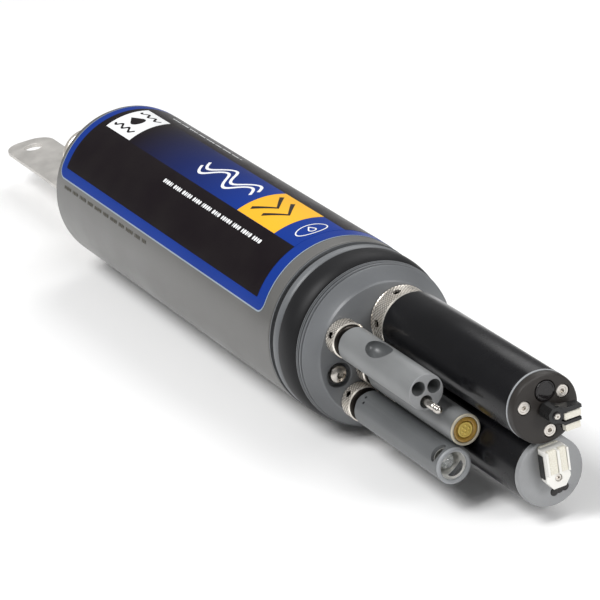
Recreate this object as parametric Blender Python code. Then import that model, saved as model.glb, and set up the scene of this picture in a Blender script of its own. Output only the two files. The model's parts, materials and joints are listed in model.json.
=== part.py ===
"""Multiparameter water quality probe (sonde), lying on its side.

A sealed instrument tube carries a bail and a cable connector on its rear cap. Five plug-in sensor probes
stand on its front bulkhead, each held by its own knurled nut: two optical probes with motor-driven wipers,
and three slim ones (conductivity and temperature, ion-selective, pH).

Every length is in millimetres and the mesh makers scale it to metres. X runs along the tube's axis from the
rear rim (x = 0) towards the probes, and y and z are measured from that axis. The empty "sonde_axis" lifts the
axis so that the tube lies on z = 0, and puts the middle of the whole length at x = 0.
"""

import math

import bmesh
import bpy
from mathutils import Matrix, Vector

MM = 0.001
GAP = 0.3
MERGE = 0.001

# Housing tube, turned with flats so that it lies on one of them
TUBE_LENGTH = 223.5
TUBE_RADIUS = 36.8
TUBE_BORE = 33.2
TUBE_SIDES = 36
SPIGOT_RADIUS = TUBE_BORE - GAP
AXIS_HEIGHT = TUBE_RADIUS * math.cos(math.pi / TUBE_SIDES)

# Seal rings inside the tube's two ends
SEAL_SECTION = 1.05
SEAL_CENTRE = 31.85
SEAL_GROOVE_RADIUS = 30.5
SEAL_GROOVE_WIDTH = 2.7
REAR_SEAL_X = 7.4
FRONT_SEAL_X = 213.2

# Label wrapped round the tube's upper side
LABEL_START_X = 2.5
LABEL_END_X = 216.0
LABEL_START_DEG = 20.0
LABEL_END_DEG = 157.0
LABEL_GAP = 0.12
LABEL_THICKNESS = 0.3

# Front bulkhead
BULKHEAD_REAR_X = 205.0
FACE_X = 254.5
FACE_RADIUS = 28.6
PLUG_FACE_X = 229.6
THREAD_START_X = 247.6
FACE_RING_X = 225.85
FACE_RING_CENTRE = 35.35
FACE_RING_SECTION = 0.65
BAND_START_X = 231.6
BAND_END_X = 243.3
BAND_RADIUS = 36.6
BAND_SEAT_RADIUS = 33.4

# Earthing screw in its counterbore on the bulkhead's face
EARTH_Y = -21.1
EARTH_Z = -3.8
EARTH_COUNTERBORE = 5.3
EARTH_DEPTH = 2.6
EARTH_HEAD = 3.9
EARTH_SHANK = 1.9

# Rear cap, bail and cable connector
CAP_FACE_X = -3.2
CAP_RADIUS = 35.6
CAP_WEB_X = 4.0
CONNECTOR_HOLE = 8.3
BAIL_TIP_X = -138.0
BAIL_WIDTH = 24.4
BAIL_THICKNESS = 2.0
BAIL_Z = -18.7
BAIL_FOOT_Z = -31.5
BAIL_BEND = 3.5
BAIL_TIP_CORNER = 9.0
BAIL_HOLE_X = -126.5
BAIL_HOLE_RADIUS = 4.4
BAIL_SCREW_Y = 7.0
BAIL_SCREW_Z = -25.6
SHELL_REAR_X = -31.0
SHELL_RADIUS = 8.6
SHELL_BORE = 7.0
FLANGE_RADIUS = 11.5
FLANGE_REAR_X = -9.5
CONTACT_CIRCLE = 4.0
CONTACT_RADIUS = 0.7
CONTACTS = 8
LOCK_NUT_RADIUS = 12.2
SLEEVE_REAR_X = -50.5
SLEEVE_FRONT_X = -11.8
SLEEVE_RADIUS = 13.0
SLEEVE_BORE = 8.9
SLEEVE_WEB = 3.3
CONNECTOR_CAP_REAR_X = -58.0
CONNECTOR_CAP_STEM = 5.6
CONNECTOR_CAP_HEAD = 8.3

# Probe nuts: collar in front of the face, threaded spigot in the port, pitch 1 mm
NUT_START_X = FACE_X + GAP
SPIGOT_START_X = 248.6
SPANNER_HOLE_DEPTH = 2.4

# Optical probes
OPTICAL_RADIUS = 14.1
OPTICAL_BORE = 12.2
OPTICAL_SHOULDER_X = 265.6
OPTICAL_FRONT_X = 365.0
PLATE_REAR_X = 366.6
PLATE_FACE_X = 370.4
SHAFT_RADIUS = 1.5
SHAFT_HOLE = 1.8
SET_SCREW_RADIUS = 1.3
SET_SCREW_DEPTH = 1.7
PLATE_SCREW_ANGLES = (30.0, 160.0, 275.0)
PLATE_SCREW_CIRCLE = 9.3
PLATE_SCREW_HEAD = 2.5
WINDOW_Y = 0.8
WINDOW_Z = 7.2
WINDOW_RADIUS = 4.1
PLAIN_PLATE_REAR_X = 363.3
PLAIN_PLATE_FACE_X = 366.2
LENS_SPOTS = ((0.4, -8.4), (2.8, -8.3), (5.1, -7.8))
LENS_RADIUS = 1.7
FRONT_END_X = 379.6

# Slim probes
SLIM_RADIUS = 7.4
SLIM_SHOULDER_X = 262.4
SLIM_NECK_RADIUS = 5.4
SLIM_NECK_LENGTH = 3.0
CONDUCTIVITY_FACE_X = 325.0
CONDUCTIVITY_BORE_CIRCLE = 3.9
CONDUCTIVITY_BORE_RADIUS = 3.0
CONDUCTIVITY_BORE_ANGLES = (21.0, 141.0)
CONDUCTIVITY_BORE_END_X = 284.0
THERMISTOR_ANGLE = 261.0
THERMISTOR_TIP_X = 336.0
ION_FACE_X = 334.0
ION_RADIUS = 6.4
GUARD_END_X = 335.0
GUARD_BORE = 5.8
GUARD_FLOOR_X = 316.0
BULB_X = 327.6
BULB_RADIUS = 3.4

# Centres of the five probes on the bulkhead, as (y, z)
OPTICAL_A = (8.9, 12.4)
OPTICAL_B = (9.7, -16.2)
CONDUCTIVITY = (-17.3, 12.3)
ION = (-7.3, -4.1)
PH = (-14.9, -16.6)


class Stem:
    """Sizes of the plug-in end that a family of probes shares, and of the port and nut that go with it."""

    def __init__(self, neck, spigot, sides):
        self.neck = neck
        self.plug_bore = neck + GAP
        self.spigot = spigot
        self.port = spigot + GAP
        self.sides = sides


OPTICAL_STEM = Stem(neck=6.8, spigot=9.0, sides=24)
SLIM_STEM = Stem(neck=3.5, spigot=5.1, sides=16)

GREY_PLASTIC = ("grey_plastic", (0.30, 0.30, 0.30), 0.45, 0.0)
DARK_GREY_PLASTIC = ("dark_grey_plastic", (0.09, 0.095, 0.10), 0.45, 0.0)
LIGHT_GREY_PLASTIC = ("light_grey_plastic", (0.45, 0.46, 0.47), 0.45, 0.0)
BLACK_PLASTIC = ("black_plastic", (0.012, 0.012, 0.013), 0.28, 0.0)
BLACK_RUBBER = ("black_rubber", (0.012, 0.012, 0.012), 0.6, 0.0)
STEEL = ("stainless_steel", (0.62, 0.60, 0.57), 0.30, 1.0)
BAIL_STEEL = ("blasted_steel", (0.55, 0.54, 0.52), 0.50, 1.0)
LABEL_FILM = ("label_film", (0.012, 0.015, 0.04), 0.30, 0.0)
WINDOW_GLASS = ("window_glass", (0.01, 0.01, 0.012), 0.05, 0.0)
BULB_GLASS = ("bulb_glass", (0.75, 0.80, 0.80), 0.03, 0.0)
FOAM = ("wiper_foam", (0.80, 0.78, 0.68), 0.9, 0.0)
WHITE_PLASTIC = ("white_plastic", (0.78, 0.77, 0.72), 0.5, 0.0)
AMBER_PLASTIC = ("amber_plastic", (0.45, 0.26, 0.06), 0.35, 0.0)
YELLOW_MEMBRANE = ("yellow_membrane", (0.80, 0.62, 0.18), 0.45, 0.0)
CIRCUIT_BOARD = ("circuit_board", (0.02, 0.16, 0.07), 0.5, 0.0)


# Makers

def clear_scene():
    for old in list(bpy.data.objects):
        bpy.data.objects.remove(old)


def material(look):
    """Principled material of one look, made once and shared."""
    name, colour, roughness, metallic = look
    found = bpy.data.materials.get(name)
    if found:
        return found
    made = bpy.data.materials.new(name)
    made.use_nodes = True
    shader = made.node_tree.nodes["Principled BSDF"]
    shader.inputs["Base Color"].default_value = (*colour, 1.0)
    shader.inputs["Roughness"].default_value = roughness
    shader.inputs["Metallic"].default_value = metallic
    return made


def place(name, bm, look, centre=(0.0, 0.0)):
    """Turns a bmesh in millimetres into a named object whose origin is on the axis at centre (y, z)."""
    bmesh.ops.scale(bm, vec=Vector((MM, MM, MM)), verts=bm.verts)
    bmesh.ops.recalc_face_normals(bm, faces=bm.faces)
    mesh = bpy.data.meshes.new(name)
    bm.to_mesh(mesh)
    bm.free()
    mesh.shade_smooth()
    mesh.set_sharp_from_angle(angle=math.radians(30))
    made = bpy.data.objects.new(name, mesh)
    made.data.materials.append(material(look))
    bpy.context.scene.collection.objects.link(made)
    made.parent = bpy.data.objects["sonde_axis"]
    made.location = (0.0, centre[0] * MM, centre[1] * MM)
    return made


def add_turned(bm, profile, sides, y=0.0, z=0.0):
    """Spins a profile of (x, radius) points about the line through (y, z) along X.

    A profile that starts and ends on the axis makes a solid piece; any other one is a closed outline that
    makes a ring. Half a step of turn puts a flat, and not a corner, at the bottom."""
    half_step = math.pi / sides
    verts = [
        bm.verts.new((x, y + r * math.cos(half_step), z + r * math.sin(half_step)))
        for x, r in profile
    ]
    solid = profile[0][1] == 0.0 and profile[-1][1] == 0.0
    pairs = list(zip(verts, verts[1:]))
    if not solid:
        pairs.append((verts[-1], verts[0]))
    edges = [bm.edges.new(pair) for pair in pairs]
    before = set(bm.verts) - set(verts)
    bmesh.ops.spin(
        bm, geom=verts + edges, cent=(0, y, z), axis=(1, 0, 0), angle=math.tau, steps=sides,
        use_merge=True,
    )
    fresh = [v for v in bm.verts if v not in before]
    bmesh.ops.remove_doubles(bm, verts=fresh, dist=MERGE)


def turned(name, profile, look, centre=(0.0, 0.0), sides=TUBE_SIDES):
    bm = bmesh.new()
    add_turned(bm, profile, sides)
    return place(name, bm, look, centre)


def cylinder_profile(start, end, radius):
    return [(start, 0.0), (start, radius), (end, radius), (end, 0.0)]


def ring_profile(start, end, inner, outer, chamfer=0.0):
    return [
        (start, inner),
        (start, outer - chamfer),
        (start + chamfer, outer),
        (end - chamfer, outer),
        (end, outer - chamfer),
        (end, inner),
    ] if chamfer else [(start, inner), (start, outer), (end, outer), (end, inner)]


def seal_ring(name, x, centre_radius, section, centre=(0.0, 0.0), sides=TUBE_SIDES):
    """O-ring with a four-sided section, set on its corner."""
    corners = [math.tau * k / 4 for k in range(4)]
    profile = [(x + section * math.cos(a), centre_radius + section * math.sin(a)) for a in corners]
    return turned(name, profile, BLACK_RUBBER, centre, sides)


def add_prism(bm, outline, start, end):
    """Extrudes a flat (y, z) outline along X."""
    face = bm.faces.new([bm.verts.new((start, y, z)) for y, z in outline])
    grown = bmesh.ops.extrude_face_region(bm, geom=[face])
    moved = [v for v in grown["geom"] if isinstance(v, bmesh.types.BMVert)]
    bmesh.ops.translate(bm, verts=moved, vec=(end - start, 0, 0))


def prism(name, outline, start, end, look, centre=(0.0, 0.0)):
    bm = bmesh.new()
    add_prism(bm, outline, start, end)
    return place(name, bm, look, centre)


def rounded_box(low_y, high_y, low_z, high_z, corner, turn=0.0, steps=3):
    """Outline of a rectangle with round corners, turned by an angle about the origin."""
    outline = []
    corners = ((high_y, high_z, 0), (low_y, high_z, 90), (low_y, low_z, 180), (high_y, low_z, 270))
    for y, z, start in corners:
        inner_y = y - math.copysign(corner, y - (low_y + high_y) / 2)
        inner_z = z - math.copysign(corner, z - (low_z + high_z) / 2)
        for k in range(steps + 1):
            a = math.radians(start + 90 * k / steps)
            outline.append((inner_y + corner * math.cos(a), inner_z + corner * math.sin(a)))
    c = math.cos(math.radians(turn))
    s = math.sin(math.radians(turn))
    return [(y * c - z * s, y * s + z * c) for y, z in outline]


def polar(radius, degrees):
    a = math.radians(degrees)
    return radius * math.cos(a), radius * math.sin(a)


def combine(target, tool, operation="DIFFERENCE"):
    """Cuts the tool out of the target, or joins it on, and hides the tool."""
    modifier = target.modifiers.new(tool.name, "BOOLEAN")
    modifier.operation = operation
    modifier.object = tool
    tool.hide_render = True
    tool.display_type = "WIRE"


def cutter(name, build, centre=(0.0, 0.0)):
    """A guide object whose mesh is filled in by build(bm)."""
    bm = bmesh.new()
    build(bm)
    return place(name, bm, BLACK_RUBBER, centre)


# Housing

def make_tube():
    turned(
        "housing_tube",
        ring_profile(0.0, TUBE_LENGTH, TUBE_BORE, TUBE_RADIUS, chamfer=0.5),
        GREY_PLASTIC,
    )


def make_label():
    """Thin sheet bent at the same angles as the tube's flats, so that it follows them at an even gap."""
    step = 360.0 / TUBE_SIDES
    first = math.ceil(LABEL_START_DEG / step - 0.5)
    last = math.floor(LABEL_END_DEG / step - 0.5)
    bends = [LABEL_START_DEG] + [(k + 0.5) * step for k in range(first, last + 1)] + [LABEL_END_DEG]

    def on_flat(radius, degrees):
        off_middle = (degrees + step / 2) % step - step / 2
        chord = radius * math.cos(math.radians(step / 2)) / math.cos(math.radians(off_middle))
        return polar(chord, degrees)

    inner = TUBE_RADIUS + LABEL_GAP
    outer = inner + LABEL_THICKNESS
    outline = [on_flat(outer, d) for d in bends] + [on_flat(inner, d) for d in reversed(bends)]
    prism("label", outline, LABEL_START_X, LABEL_END_X, LABEL_FILM)


def seal_groove(x, outer):
    half = SEAL_GROOVE_WIDTH / 2
    return [
        (x - half, outer), (x - half, SEAL_GROOVE_RADIUS), (x + half, SEAL_GROOVE_RADIUS), (x + half, outer)
    ]


def make_bulkhead():
    """Front plug of the tube: spigot with its seal, seal ring, band seat, guard thread, cone and face."""
    profile = [(BULKHEAD_REAR_X, 0.0), (BULKHEAD_REAR_X, SPIGOT_RADIUS)]
    profile += seal_groove(FRONT_SEAL_X, SPIGOT_RADIUS)
    profile += [
        (TUBE_LENGTH + GAP, SPIGOT_RADIUS),
        (TUBE_LENGTH + GAP, TUBE_RADIUS - 0.1),
        (225.0, TUBE_RADIUS - 0.1),
        (225.0, 34.4),
        (226.8, 34.4),
        (226.8, 36.6),
        (229.3, 36.4),
        (231.2, 35.4),
        (231.2, BAND_SEAT_RADIUS),
        (243.8, BAND_SEAT_RADIUS),
        (243.8, 32.6),
        (245.6, 32.6),
        (245.6, 35.1),
        (247.8, 35.0),
        (248.9, 33.4),
        (253.5, 29.0),
        (FACE_X, FACE_RADIUS),
        (FACE_X, 0.0),
    ]
    body = turned("front_bulkhead", profile, GREY_PLASTIC)

    def ports(bm):
        for (y, z), stem in PROBE_PORTS:
            port = [
                (BULKHEAD_REAR_X - 2, 0.0), (BULKHEAD_REAR_X - 2, stem.plug_bore),
                (THREAD_START_X, stem.plug_bore),
                (THREAD_START_X, stem.port), (FACE_X + 2, stem.port), (FACE_X + 2, 0.0),
            ]
            add_turned(bm, port, stem.sides, y, z)
        floor = FACE_X - EARTH_DEPTH
        earth = [
            (floor - 8, 0.0), (floor - 8, EARTH_SHANK + GAP), (floor, EARTH_SHANK + GAP),
            (floor, EARTH_COUNTERBORE), (FACE_X + 2, EARTH_COUNTERBORE), (FACE_X + 2, 0.0),
        ]
        add_turned(bm, earth, 16, EARTH_Y, EARTH_Z)

    combine(body, cutter("cut_ports", ports))


def make_bulkhead_fittings():
    seal_ring("front_seal", FRONT_SEAL_X, SEAL_CENTRE, SEAL_SECTION)
    seal_ring("face_seal", FACE_RING_X, FACE_RING_CENTRE, FACE_RING_SECTION)
    turned(
        "rubber_band",
        ring_profile(BAND_START_X, BAND_END_X, BAND_SEAT_RADIUS + GAP, BAND_RADIUS, chamfer=0.7),
        BLACK_RUBBER,
    )
    seat = FACE_X - EARTH_DEPTH + GAP
    turned(
        "earth_screw",
        [
            (seat - 7, 0.0), (seat - 7, EARTH_SHANK), (seat, EARTH_SHANK), (seat, EARTH_HEAD),
            (seat + 1.2, EARTH_HEAD), (seat + 2.3, EARTH_HEAD * 0.75), (seat + 2.9, EARTH_HEAD * 0.35),
            (seat + 3.0, 0.0),
        ],
        STEEL,
        (EARTH_Y, EARTH_Z),
        14,
    )


def make_rear_cap():
    web = 27.0
    end = 14.0
    profile = [
        (CAP_FACE_X, CONNECTOR_HOLE), (CAP_FACE_X, CAP_RADIUS - 0.7), (CAP_FACE_X + 0.7, CAP_RADIUS),
        (-GAP, CAP_RADIUS), (-GAP, SPIGOT_RADIUS),
    ]
    profile += seal_groove(REAR_SEAL_X, SPIGOT_RADIUS)
    profile += [(end, SPIGOT_RADIUS), (end, web), (CAP_WEB_X, web), (CAP_WEB_X, CONNECTOR_HOLE)]
    cap = turned("rear_cap", profile, DARK_GREY_PLASTIC)

    def screw_holes(bm):
        for side in (-1, 1):
            hole = cylinder_profile(CAP_FACE_X - 2, CAP_FACE_X + 6, 1.9)
            add_turned(bm, hole, 10, side * BAIL_SCREW_Y, BAIL_SCREW_Z)

    combine(cap, cutter("cut_cap_screw_holes", screw_holes))
    seal_ring("rear_seal", REAR_SEAL_X, SEAL_CENTRE, SEAL_SECTION)


def make_bail():
    """Flat steel tab with one bent foot against the rear cap, held there by two screws."""
    foot_x = CAP_FACE_X - GAP
    top = BAIL_Z + BAIL_THICKNESS / 2
    low = BAIL_Z - BAIL_THICKNESS / 2
    bend = [
        (foot_x - BAIL_BEND + BAIL_BEND * math.sin(a), top - BAIL_BEND + BAIL_BEND * math.cos(a))
        for a in (math.radians(90 * k / 5) for k in range(6))
    ]
    inner = BAIL_BEND - BAIL_THICKNESS
    inner_bend = [
        (foot_x - BAIL_BEND + inner * math.sin(a), top - BAIL_BEND + inner * math.cos(a))
        for a in (math.radians(90 * k / 3) for k in range(3, -1, -1))
    ]
    side = [(BAIL_TIP_X, top)] + bend + [(foot_x, BAIL_FOOT_Z), (foot_x - BAIL_THICKNESS, BAIL_FOOT_Z)]
    side += inner_bend + [(BAIL_TIP_X, low)]
    bm = bmesh.new()
    face = bm.faces.new([bm.verts.new((x, -BAIL_WIDTH / 2, z)) for x, z in side])
    grown = bmesh.ops.extrude_face_region(bm, geom=[face])
    moved = [v for v in grown["geom"] if isinstance(v, bmesh.types.BMVert)]
    bmesh.ops.translate(bm, verts=moved, vec=(0, BAIL_WIDTH, 0))
    tip_edges = [
        e for e in bm.edges
        if all(abs(v.co.x - BAIL_TIP_X) < 1e-6 for v in e.verts)
        and abs(e.verts[0].co.y - e.verts[1].co.y) < 1e-6
    ]
    bmesh.ops.bevel(bm, geom=tip_edges, offset=BAIL_TIP_CORNER, segments=5, profile=0.5, affect="EDGES")
    bail = place("bail", bm, BAIL_STEEL)

    def holes(bm):
        upright = bmesh.ops.create_cone(
            bm, cap_ends=True, segments=20, radius1=BAIL_HOLE_RADIUS, radius2=BAIL_HOLE_RADIUS, depth=8.0
        )
        bmesh.ops.translate(bm, verts=upright["verts"], vec=(BAIL_HOLE_X, 0, BAIL_Z))
        for side_sign in (-1, 1):
            hole = cylinder_profile(foot_x - 4, foot_x + 2, 1.9)
            add_turned(bm, hole, 10, side_sign * BAIL_SCREW_Y, BAIL_SCREW_Z)

    combine(bail, cutter("cut_bail_holes", holes))
    head_x = foot_x - BAIL_THICKNESS - GAP
    for k, side_sign in enumerate((-1, 1)):
        turned(
            f"bail_screw_{k + 1}",
            [
                (head_x - 2.3, 0.0), (head_x - 2.2, 1.2), (head_x - 1.6, 2.6), (head_x - 0.8, 3.1),
                (head_x, 3.1), (head_x, 1.6), (CAP_FACE_X + 5, 1.6), (CAP_FACE_X + 5, 0.0),
            ],
            STEEL,
            (side_sign * BAIL_SCREW_Y, BAIL_SCREW_Z),
            12,
        )


def make_connector():
    """Bulkhead cable connector with its contacts, lock nut, pressure cap and knurled locking sleeve."""
    flange_x = CAP_FACE_X - GAP
    inner_radius = CONNECTOR_HOLE - GAP
    inner_end = 12.0
    floor = -10.0
    turned(
        "connector_shell",
        [
            (SHELL_REAR_X, SHELL_BORE), (SHELL_REAR_X, SHELL_RADIUS - 0.3),
            (SHELL_REAR_X + 0.4, SHELL_RADIUS), (FLANGE_REAR_X, SHELL_RADIUS),
            (FLANGE_REAR_X, FLANGE_RADIUS), (flange_x, FLANGE_RADIUS),
            (flange_x, inner_radius), (inner_end, inner_radius), (inner_end, inner_radius - 2),
            (floor, inner_radius - 2), (floor, SHELL_BORE),
        ],
        STEEL,
        sides=20,
    )
    insert_end = floor - GAP
    insert_start = insert_end - 2.3
    insert = turned(
        "contact_insert", cylinder_profile(insert_start, insert_end, SHELL_BORE - GAP), BLACK_RUBBER, sides=20
    )

    def contacts(bm):
        pin = cylinder_profile(insert_start - 12.4, insert_end - 1.2, CONTACT_RADIUS)
        for k in range(CONTACTS):
            y, z = polar(CONTACT_CIRCLE, 360 * k / CONTACTS)
            add_turned(bm, pin, 6, y, z)

    combine(insert, cutter("join_contacts", contacts), "UNION")
    nut_start = CAP_WEB_X + GAP
    hexagon = [polar(LOCK_NUT_RADIUS, 60 * k) for k in range(6)]
    nut = prism("connector_lock_nut", hexagon, nut_start, nut_start + 4, STEEL)
    hole = cylinder_profile(nut_start - 2, nut_start + 6, CONNECTOR_HOLE)
    combine(nut, cutter("cut_lock_nut", lambda bm: add_turned(bm, hole, 20)))
    web_x = SLEEVE_REAR_X + SLEEVE_WEB
    head_start = web_x + GAP
    head_end = SHELL_REAR_X - GAP
    mouth = -15.0
    plug = SHELL_BORE - GAP
    turned(
        "connector_cap",
        [
            (CONNECTOR_CAP_REAR_X, 0.0), (CONNECTOR_CAP_REAR_X, CONNECTOR_CAP_STEM - 0.8),
            (CONNECTOR_CAP_REAR_X + 0.8, CONNECTOR_CAP_STEM), (head_start, CONNECTOR_CAP_STEM),
            (head_start, CONNECTOR_CAP_HEAD), (head_end, CONNECTOR_CAP_HEAD), (head_end, plug),
            (mouth, plug), (mouth, plug - 1.2), (head_end + 2.3, plug - 1.2), (head_end + 2.3, 0.0),
        ],
        BLACK_PLASTIC,
        sides=20,
    )
    stem_hole = CONNECTOR_CAP_STEM + 0.4
    turned(
        "locking_sleeve",
        [
            (SLEEVE_REAR_X, stem_hole), (SLEEVE_REAR_X, SLEEVE_RADIUS - 0.8),
            (SLEEVE_REAR_X + 0.8, SLEEVE_RADIUS), (SLEEVE_FRONT_X - 0.8, SLEEVE_RADIUS),
            (SLEEVE_FRONT_X, SLEEVE_RADIUS - 0.8), (SLEEVE_FRONT_X, SLEEVE_BORE), (web_x, SLEEVE_BORE),
            (web_x, stem_hole),
        ],
        STEEL,
        sides=20,
    )


def make_inside():
    """Circuit board on its carrier, and the board with one socket post for each port."""
    rail_start = 60.0
    board_end = 196.0
    carrier = turned("board_carrier", cylinder_profile(rail_start - 3, rail_start, 31.5), DARK_GREY_PLASTIC,
                     sides=24)

    def rails(bm):
        for side in (-1, 1):
            edge = side * 27.0
            rail = rounded_box(edge - 1.5, edge + 1.5, -6.0, 6.0, 0.5, steps=1)
            add_prism(bm, rail, rail_start - 1, board_end)

    combine(carrier, cutter("join_rails", rails), "UNION")
    outline = rounded_box(-24.8, 24.8, -0.8, 0.8, 0.3, steps=1)
    prism("main_board", outline, rail_start + GAP, board_end, CIRCUIT_BOARD)
    face = BULKHEAD_REAR_X - GAP
    board = turned("port_board", cylinder_profile(face - 1.6, face, 31.0), CIRCUIT_BOARD, sides=24)

    def posts(bm):
        for (y, z), stem in PROBE_PORTS:
            post = cylinder_profile(face - 0.8, PLUG_FACE_X - GAP, stem.neck - 0.8)
            add_turned(bm, post, 12, y, z)

    combine(board, cutter("join_posts", posts), "UNION")


# Probes

def stem_profile(stem, shoulder_x):
    """Outer side of a probe's plug-in end, from the plug's face on the axis to its shoulder."""
    start = PLUG_FACE_X
    groove = stem.neck - 1.1
    return [
        (start, 0.0), (start, stem.neck), (start + 4.0, stem.neck),
        (start + 4.0, groove), (start + 5.8, groove), (start + 5.8, stem.neck), (shoulder_x, stem.neck),
    ]


def slim_neck(shoulder_x, radius):
    """Narrow ring between a slim probe's nut and the chamfer where its body starts."""
    end = shoulder_x + SLIM_NECK_LENGTH
    return [(shoulder_x, SLIM_NECK_RADIUS), (end, SLIM_NECK_RADIUS), (end, radius - 0.6), (end + 0.6, radius)]


def make_stem_fittings(label, centre, stem, collar, shoulder_x):
    """Stem seal and knurled nut of one probe."""
    seal_ring(f"stem_seal_{label}", PLUG_FACE_X + 4.9, stem.neck - 0.4, 0.38, centre, stem.sides)
    end = shoulder_x - GAP
    bore = stem.neck + GAP
    nut = turned(
        f"nut_{label}",
        [
            (SPIGOT_START_X, bore), (SPIGOT_START_X, stem.spigot),
            (NUT_START_X, stem.spigot), (NUT_START_X, collar), (end - 1.2, collar), (end, collar - 1.0),
            (end, bore),
        ],
        STEEL,
        centre,
        stem.sides,
    )

    def spanner_holes(bm):
        count = 6 if stem is OPTICAL_STEM else 4
        for k in range(count):
            made = bmesh.ops.create_cone(
                bm, cap_ends=True, segments=8, radius1=1.0, radius2=1.0, depth=2 * SPANNER_HOLE_DEPTH
            )
            middle = (NUT_START_X + end) / 2 - 0.5
            turn = Matrix.Rotation(math.tau * k / count + math.radians(12), 4, "X")
            out = turn @ Matrix.Translation((middle, 0, collar))
            bmesh.ops.transform(bm, matrix=out, verts=made["verts"])

    combine(nut, cutter(f"cut_spanner_holes_{label}", spanner_holes, centre))


def make_optical_body(label, centre, front_x):
    shoulder = OPTICAL_SHOULDER_X
    floor = 272.0
    profile = stem_profile(OPTICAL_STEM, shoulder) + [
        (shoulder, OPTICAL_RADIUS - 0.8), (shoulder + 0.8, OPTICAL_RADIUS), (front_x, OPTICAL_RADIUS),
        (front_x, OPTICAL_BORE), (floor, OPTICAL_BORE), (floor, 0.0),
    ]
    turned(f"optical_body_{label}", profile, BLACK_PLASTIC, centre, OPTICAL_STEM.sides)


def make_optical_inside(label, centre, carrier_front_x, plate_screws):
    """Carrier block with the wiper motor and its shaft."""
    carrier = turned(
        f"optics_carrier_{label}",
        ring_profile(carrier_front_x - 12, carrier_front_x, SHAFT_HOLE, OPTICAL_BORE - GAP),
        DARK_GREY_PLASTIC,
        centre,
        20,
    )
    if plate_screws:
        def taps(bm):
            for angle in PLATE_SCREW_ANGLES:
                y, z = polar(PLATE_SCREW_CIRCLE, angle)
                tap = cylinder_profile(carrier_front_x - 8, carrier_front_x + 2, 1.2 + GAP)
                add_turned(bm, tap, 12, y, z)
        combine(carrier, cutter(f"cut_taps_{label}", taps, centre))
    motor_end = carrier_front_x - 12 - GAP
    turned(
        f"wiper_motor_{label}",
        [
            (motor_end - 28, 0.0), (motor_end - 28, 7.5), (motor_end, 7.5), (motor_end, SHAFT_HOLE),
            (motor_end - 12, SHAFT_HOLE), (motor_end - 12, 0.0),
        ],
        STEEL,
        centre,
        16,
    )
    return motor_end - 11


def make_probe_a():
    """Optical probe with a screwed-on dark end plate, a round window and a foam wiper."""
    make_optical_body("a", OPTICAL_A, OPTICAL_FRONT_X)
    shaft_start = make_optical_inside("a", OPTICAL_A, OPTICAL_FRONT_X - 0.2, plate_screws=True)
    turned(
        "end_gasket_a",
        ring_profile(OPTICAL_FRONT_X + GAP, PLATE_REAR_X - GAP, OPTICAL_BORE, OPTICAL_RADIUS),
        LIGHT_GREY_PLASTIC,
        OPTICAL_A,
        OPTICAL_STEM.sides,
    )
    plate = turned(
        "end_plate_a",
        ring_profile(PLATE_REAR_X, PLATE_FACE_X, SHAFT_HOLE, OPTICAL_RADIUS, chamfer=0.5),
        DARK_GREY_PLASTIC,
        OPTICAL_A,
        OPTICAL_STEM.sides,
    )

    def plate_holes(bm):
        for angle in PLATE_SCREW_ANGLES:
            y, z = polar(PLATE_SCREW_CIRCLE, angle)
            hole = [
                (PLATE_REAR_X - 2, 0.0), (PLATE_REAR_X - 2, 1.5), (PLATE_FACE_X - 2.2, 1.5),
                (PLATE_FACE_X - 2.2, PLATE_SCREW_HEAD + GAP), (PLATE_FACE_X + 2, PLATE_SCREW_HEAD + GAP),
                (PLATE_FACE_X + 2, 0.0),
            ]
            add_turned(bm, hole, 10, y, z)
        window = cylinder_profile(PLATE_FACE_X - 2.6, PLATE_FACE_X + 2, WINDOW_RADIUS + GAP)
        add_turned(bm, window, 20, WINDOW_Y, WINDOW_Z)

    combine(plate, cutter("cut_end_plate_a", plate_holes, OPTICAL_A))
    window_centre = (OPTICAL_A[0] + WINDOW_Y, OPTICAL_A[1] + WINDOW_Z)
    window = [
        (PLATE_FACE_X - 2.3, 0.0), (PLATE_FACE_X - 2.3, WINDOW_RADIUS), (PLATE_FACE_X - 0.2, WINDOW_RADIUS),
        (PLATE_FACE_X + 0.1, WINDOW_RADIUS - 0.3), (PLATE_FACE_X + 0.1, 0.0),
    ]
    turned("window_a", window, WINDOW_GLASS, window_centre, 20)
    for k, angle in enumerate(PLATE_SCREW_ANGLES):
        y, z = polar(PLATE_SCREW_CIRCLE, angle)
        head = PLATE_FACE_X - 0.2
        seat = PLATE_FACE_X - 2.2 + GAP
        profile = [
            (seat - 8.5, 0.0), (seat - 8.5, 1.2), (seat, 1.2), (seat, PLATE_SCREW_HEAD),
            (head, PLATE_SCREW_HEAD), (head, 1.0), (head - 1.1, 1.0), (head - 1.1, 0.0),
        ]
        turned(f"plate_screw_{k + 1}", profile, STEEL, (OPTICAL_A[0] + y, OPTICAL_A[1] + z), 10)
    make_wiper_a(shaft_start)


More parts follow.
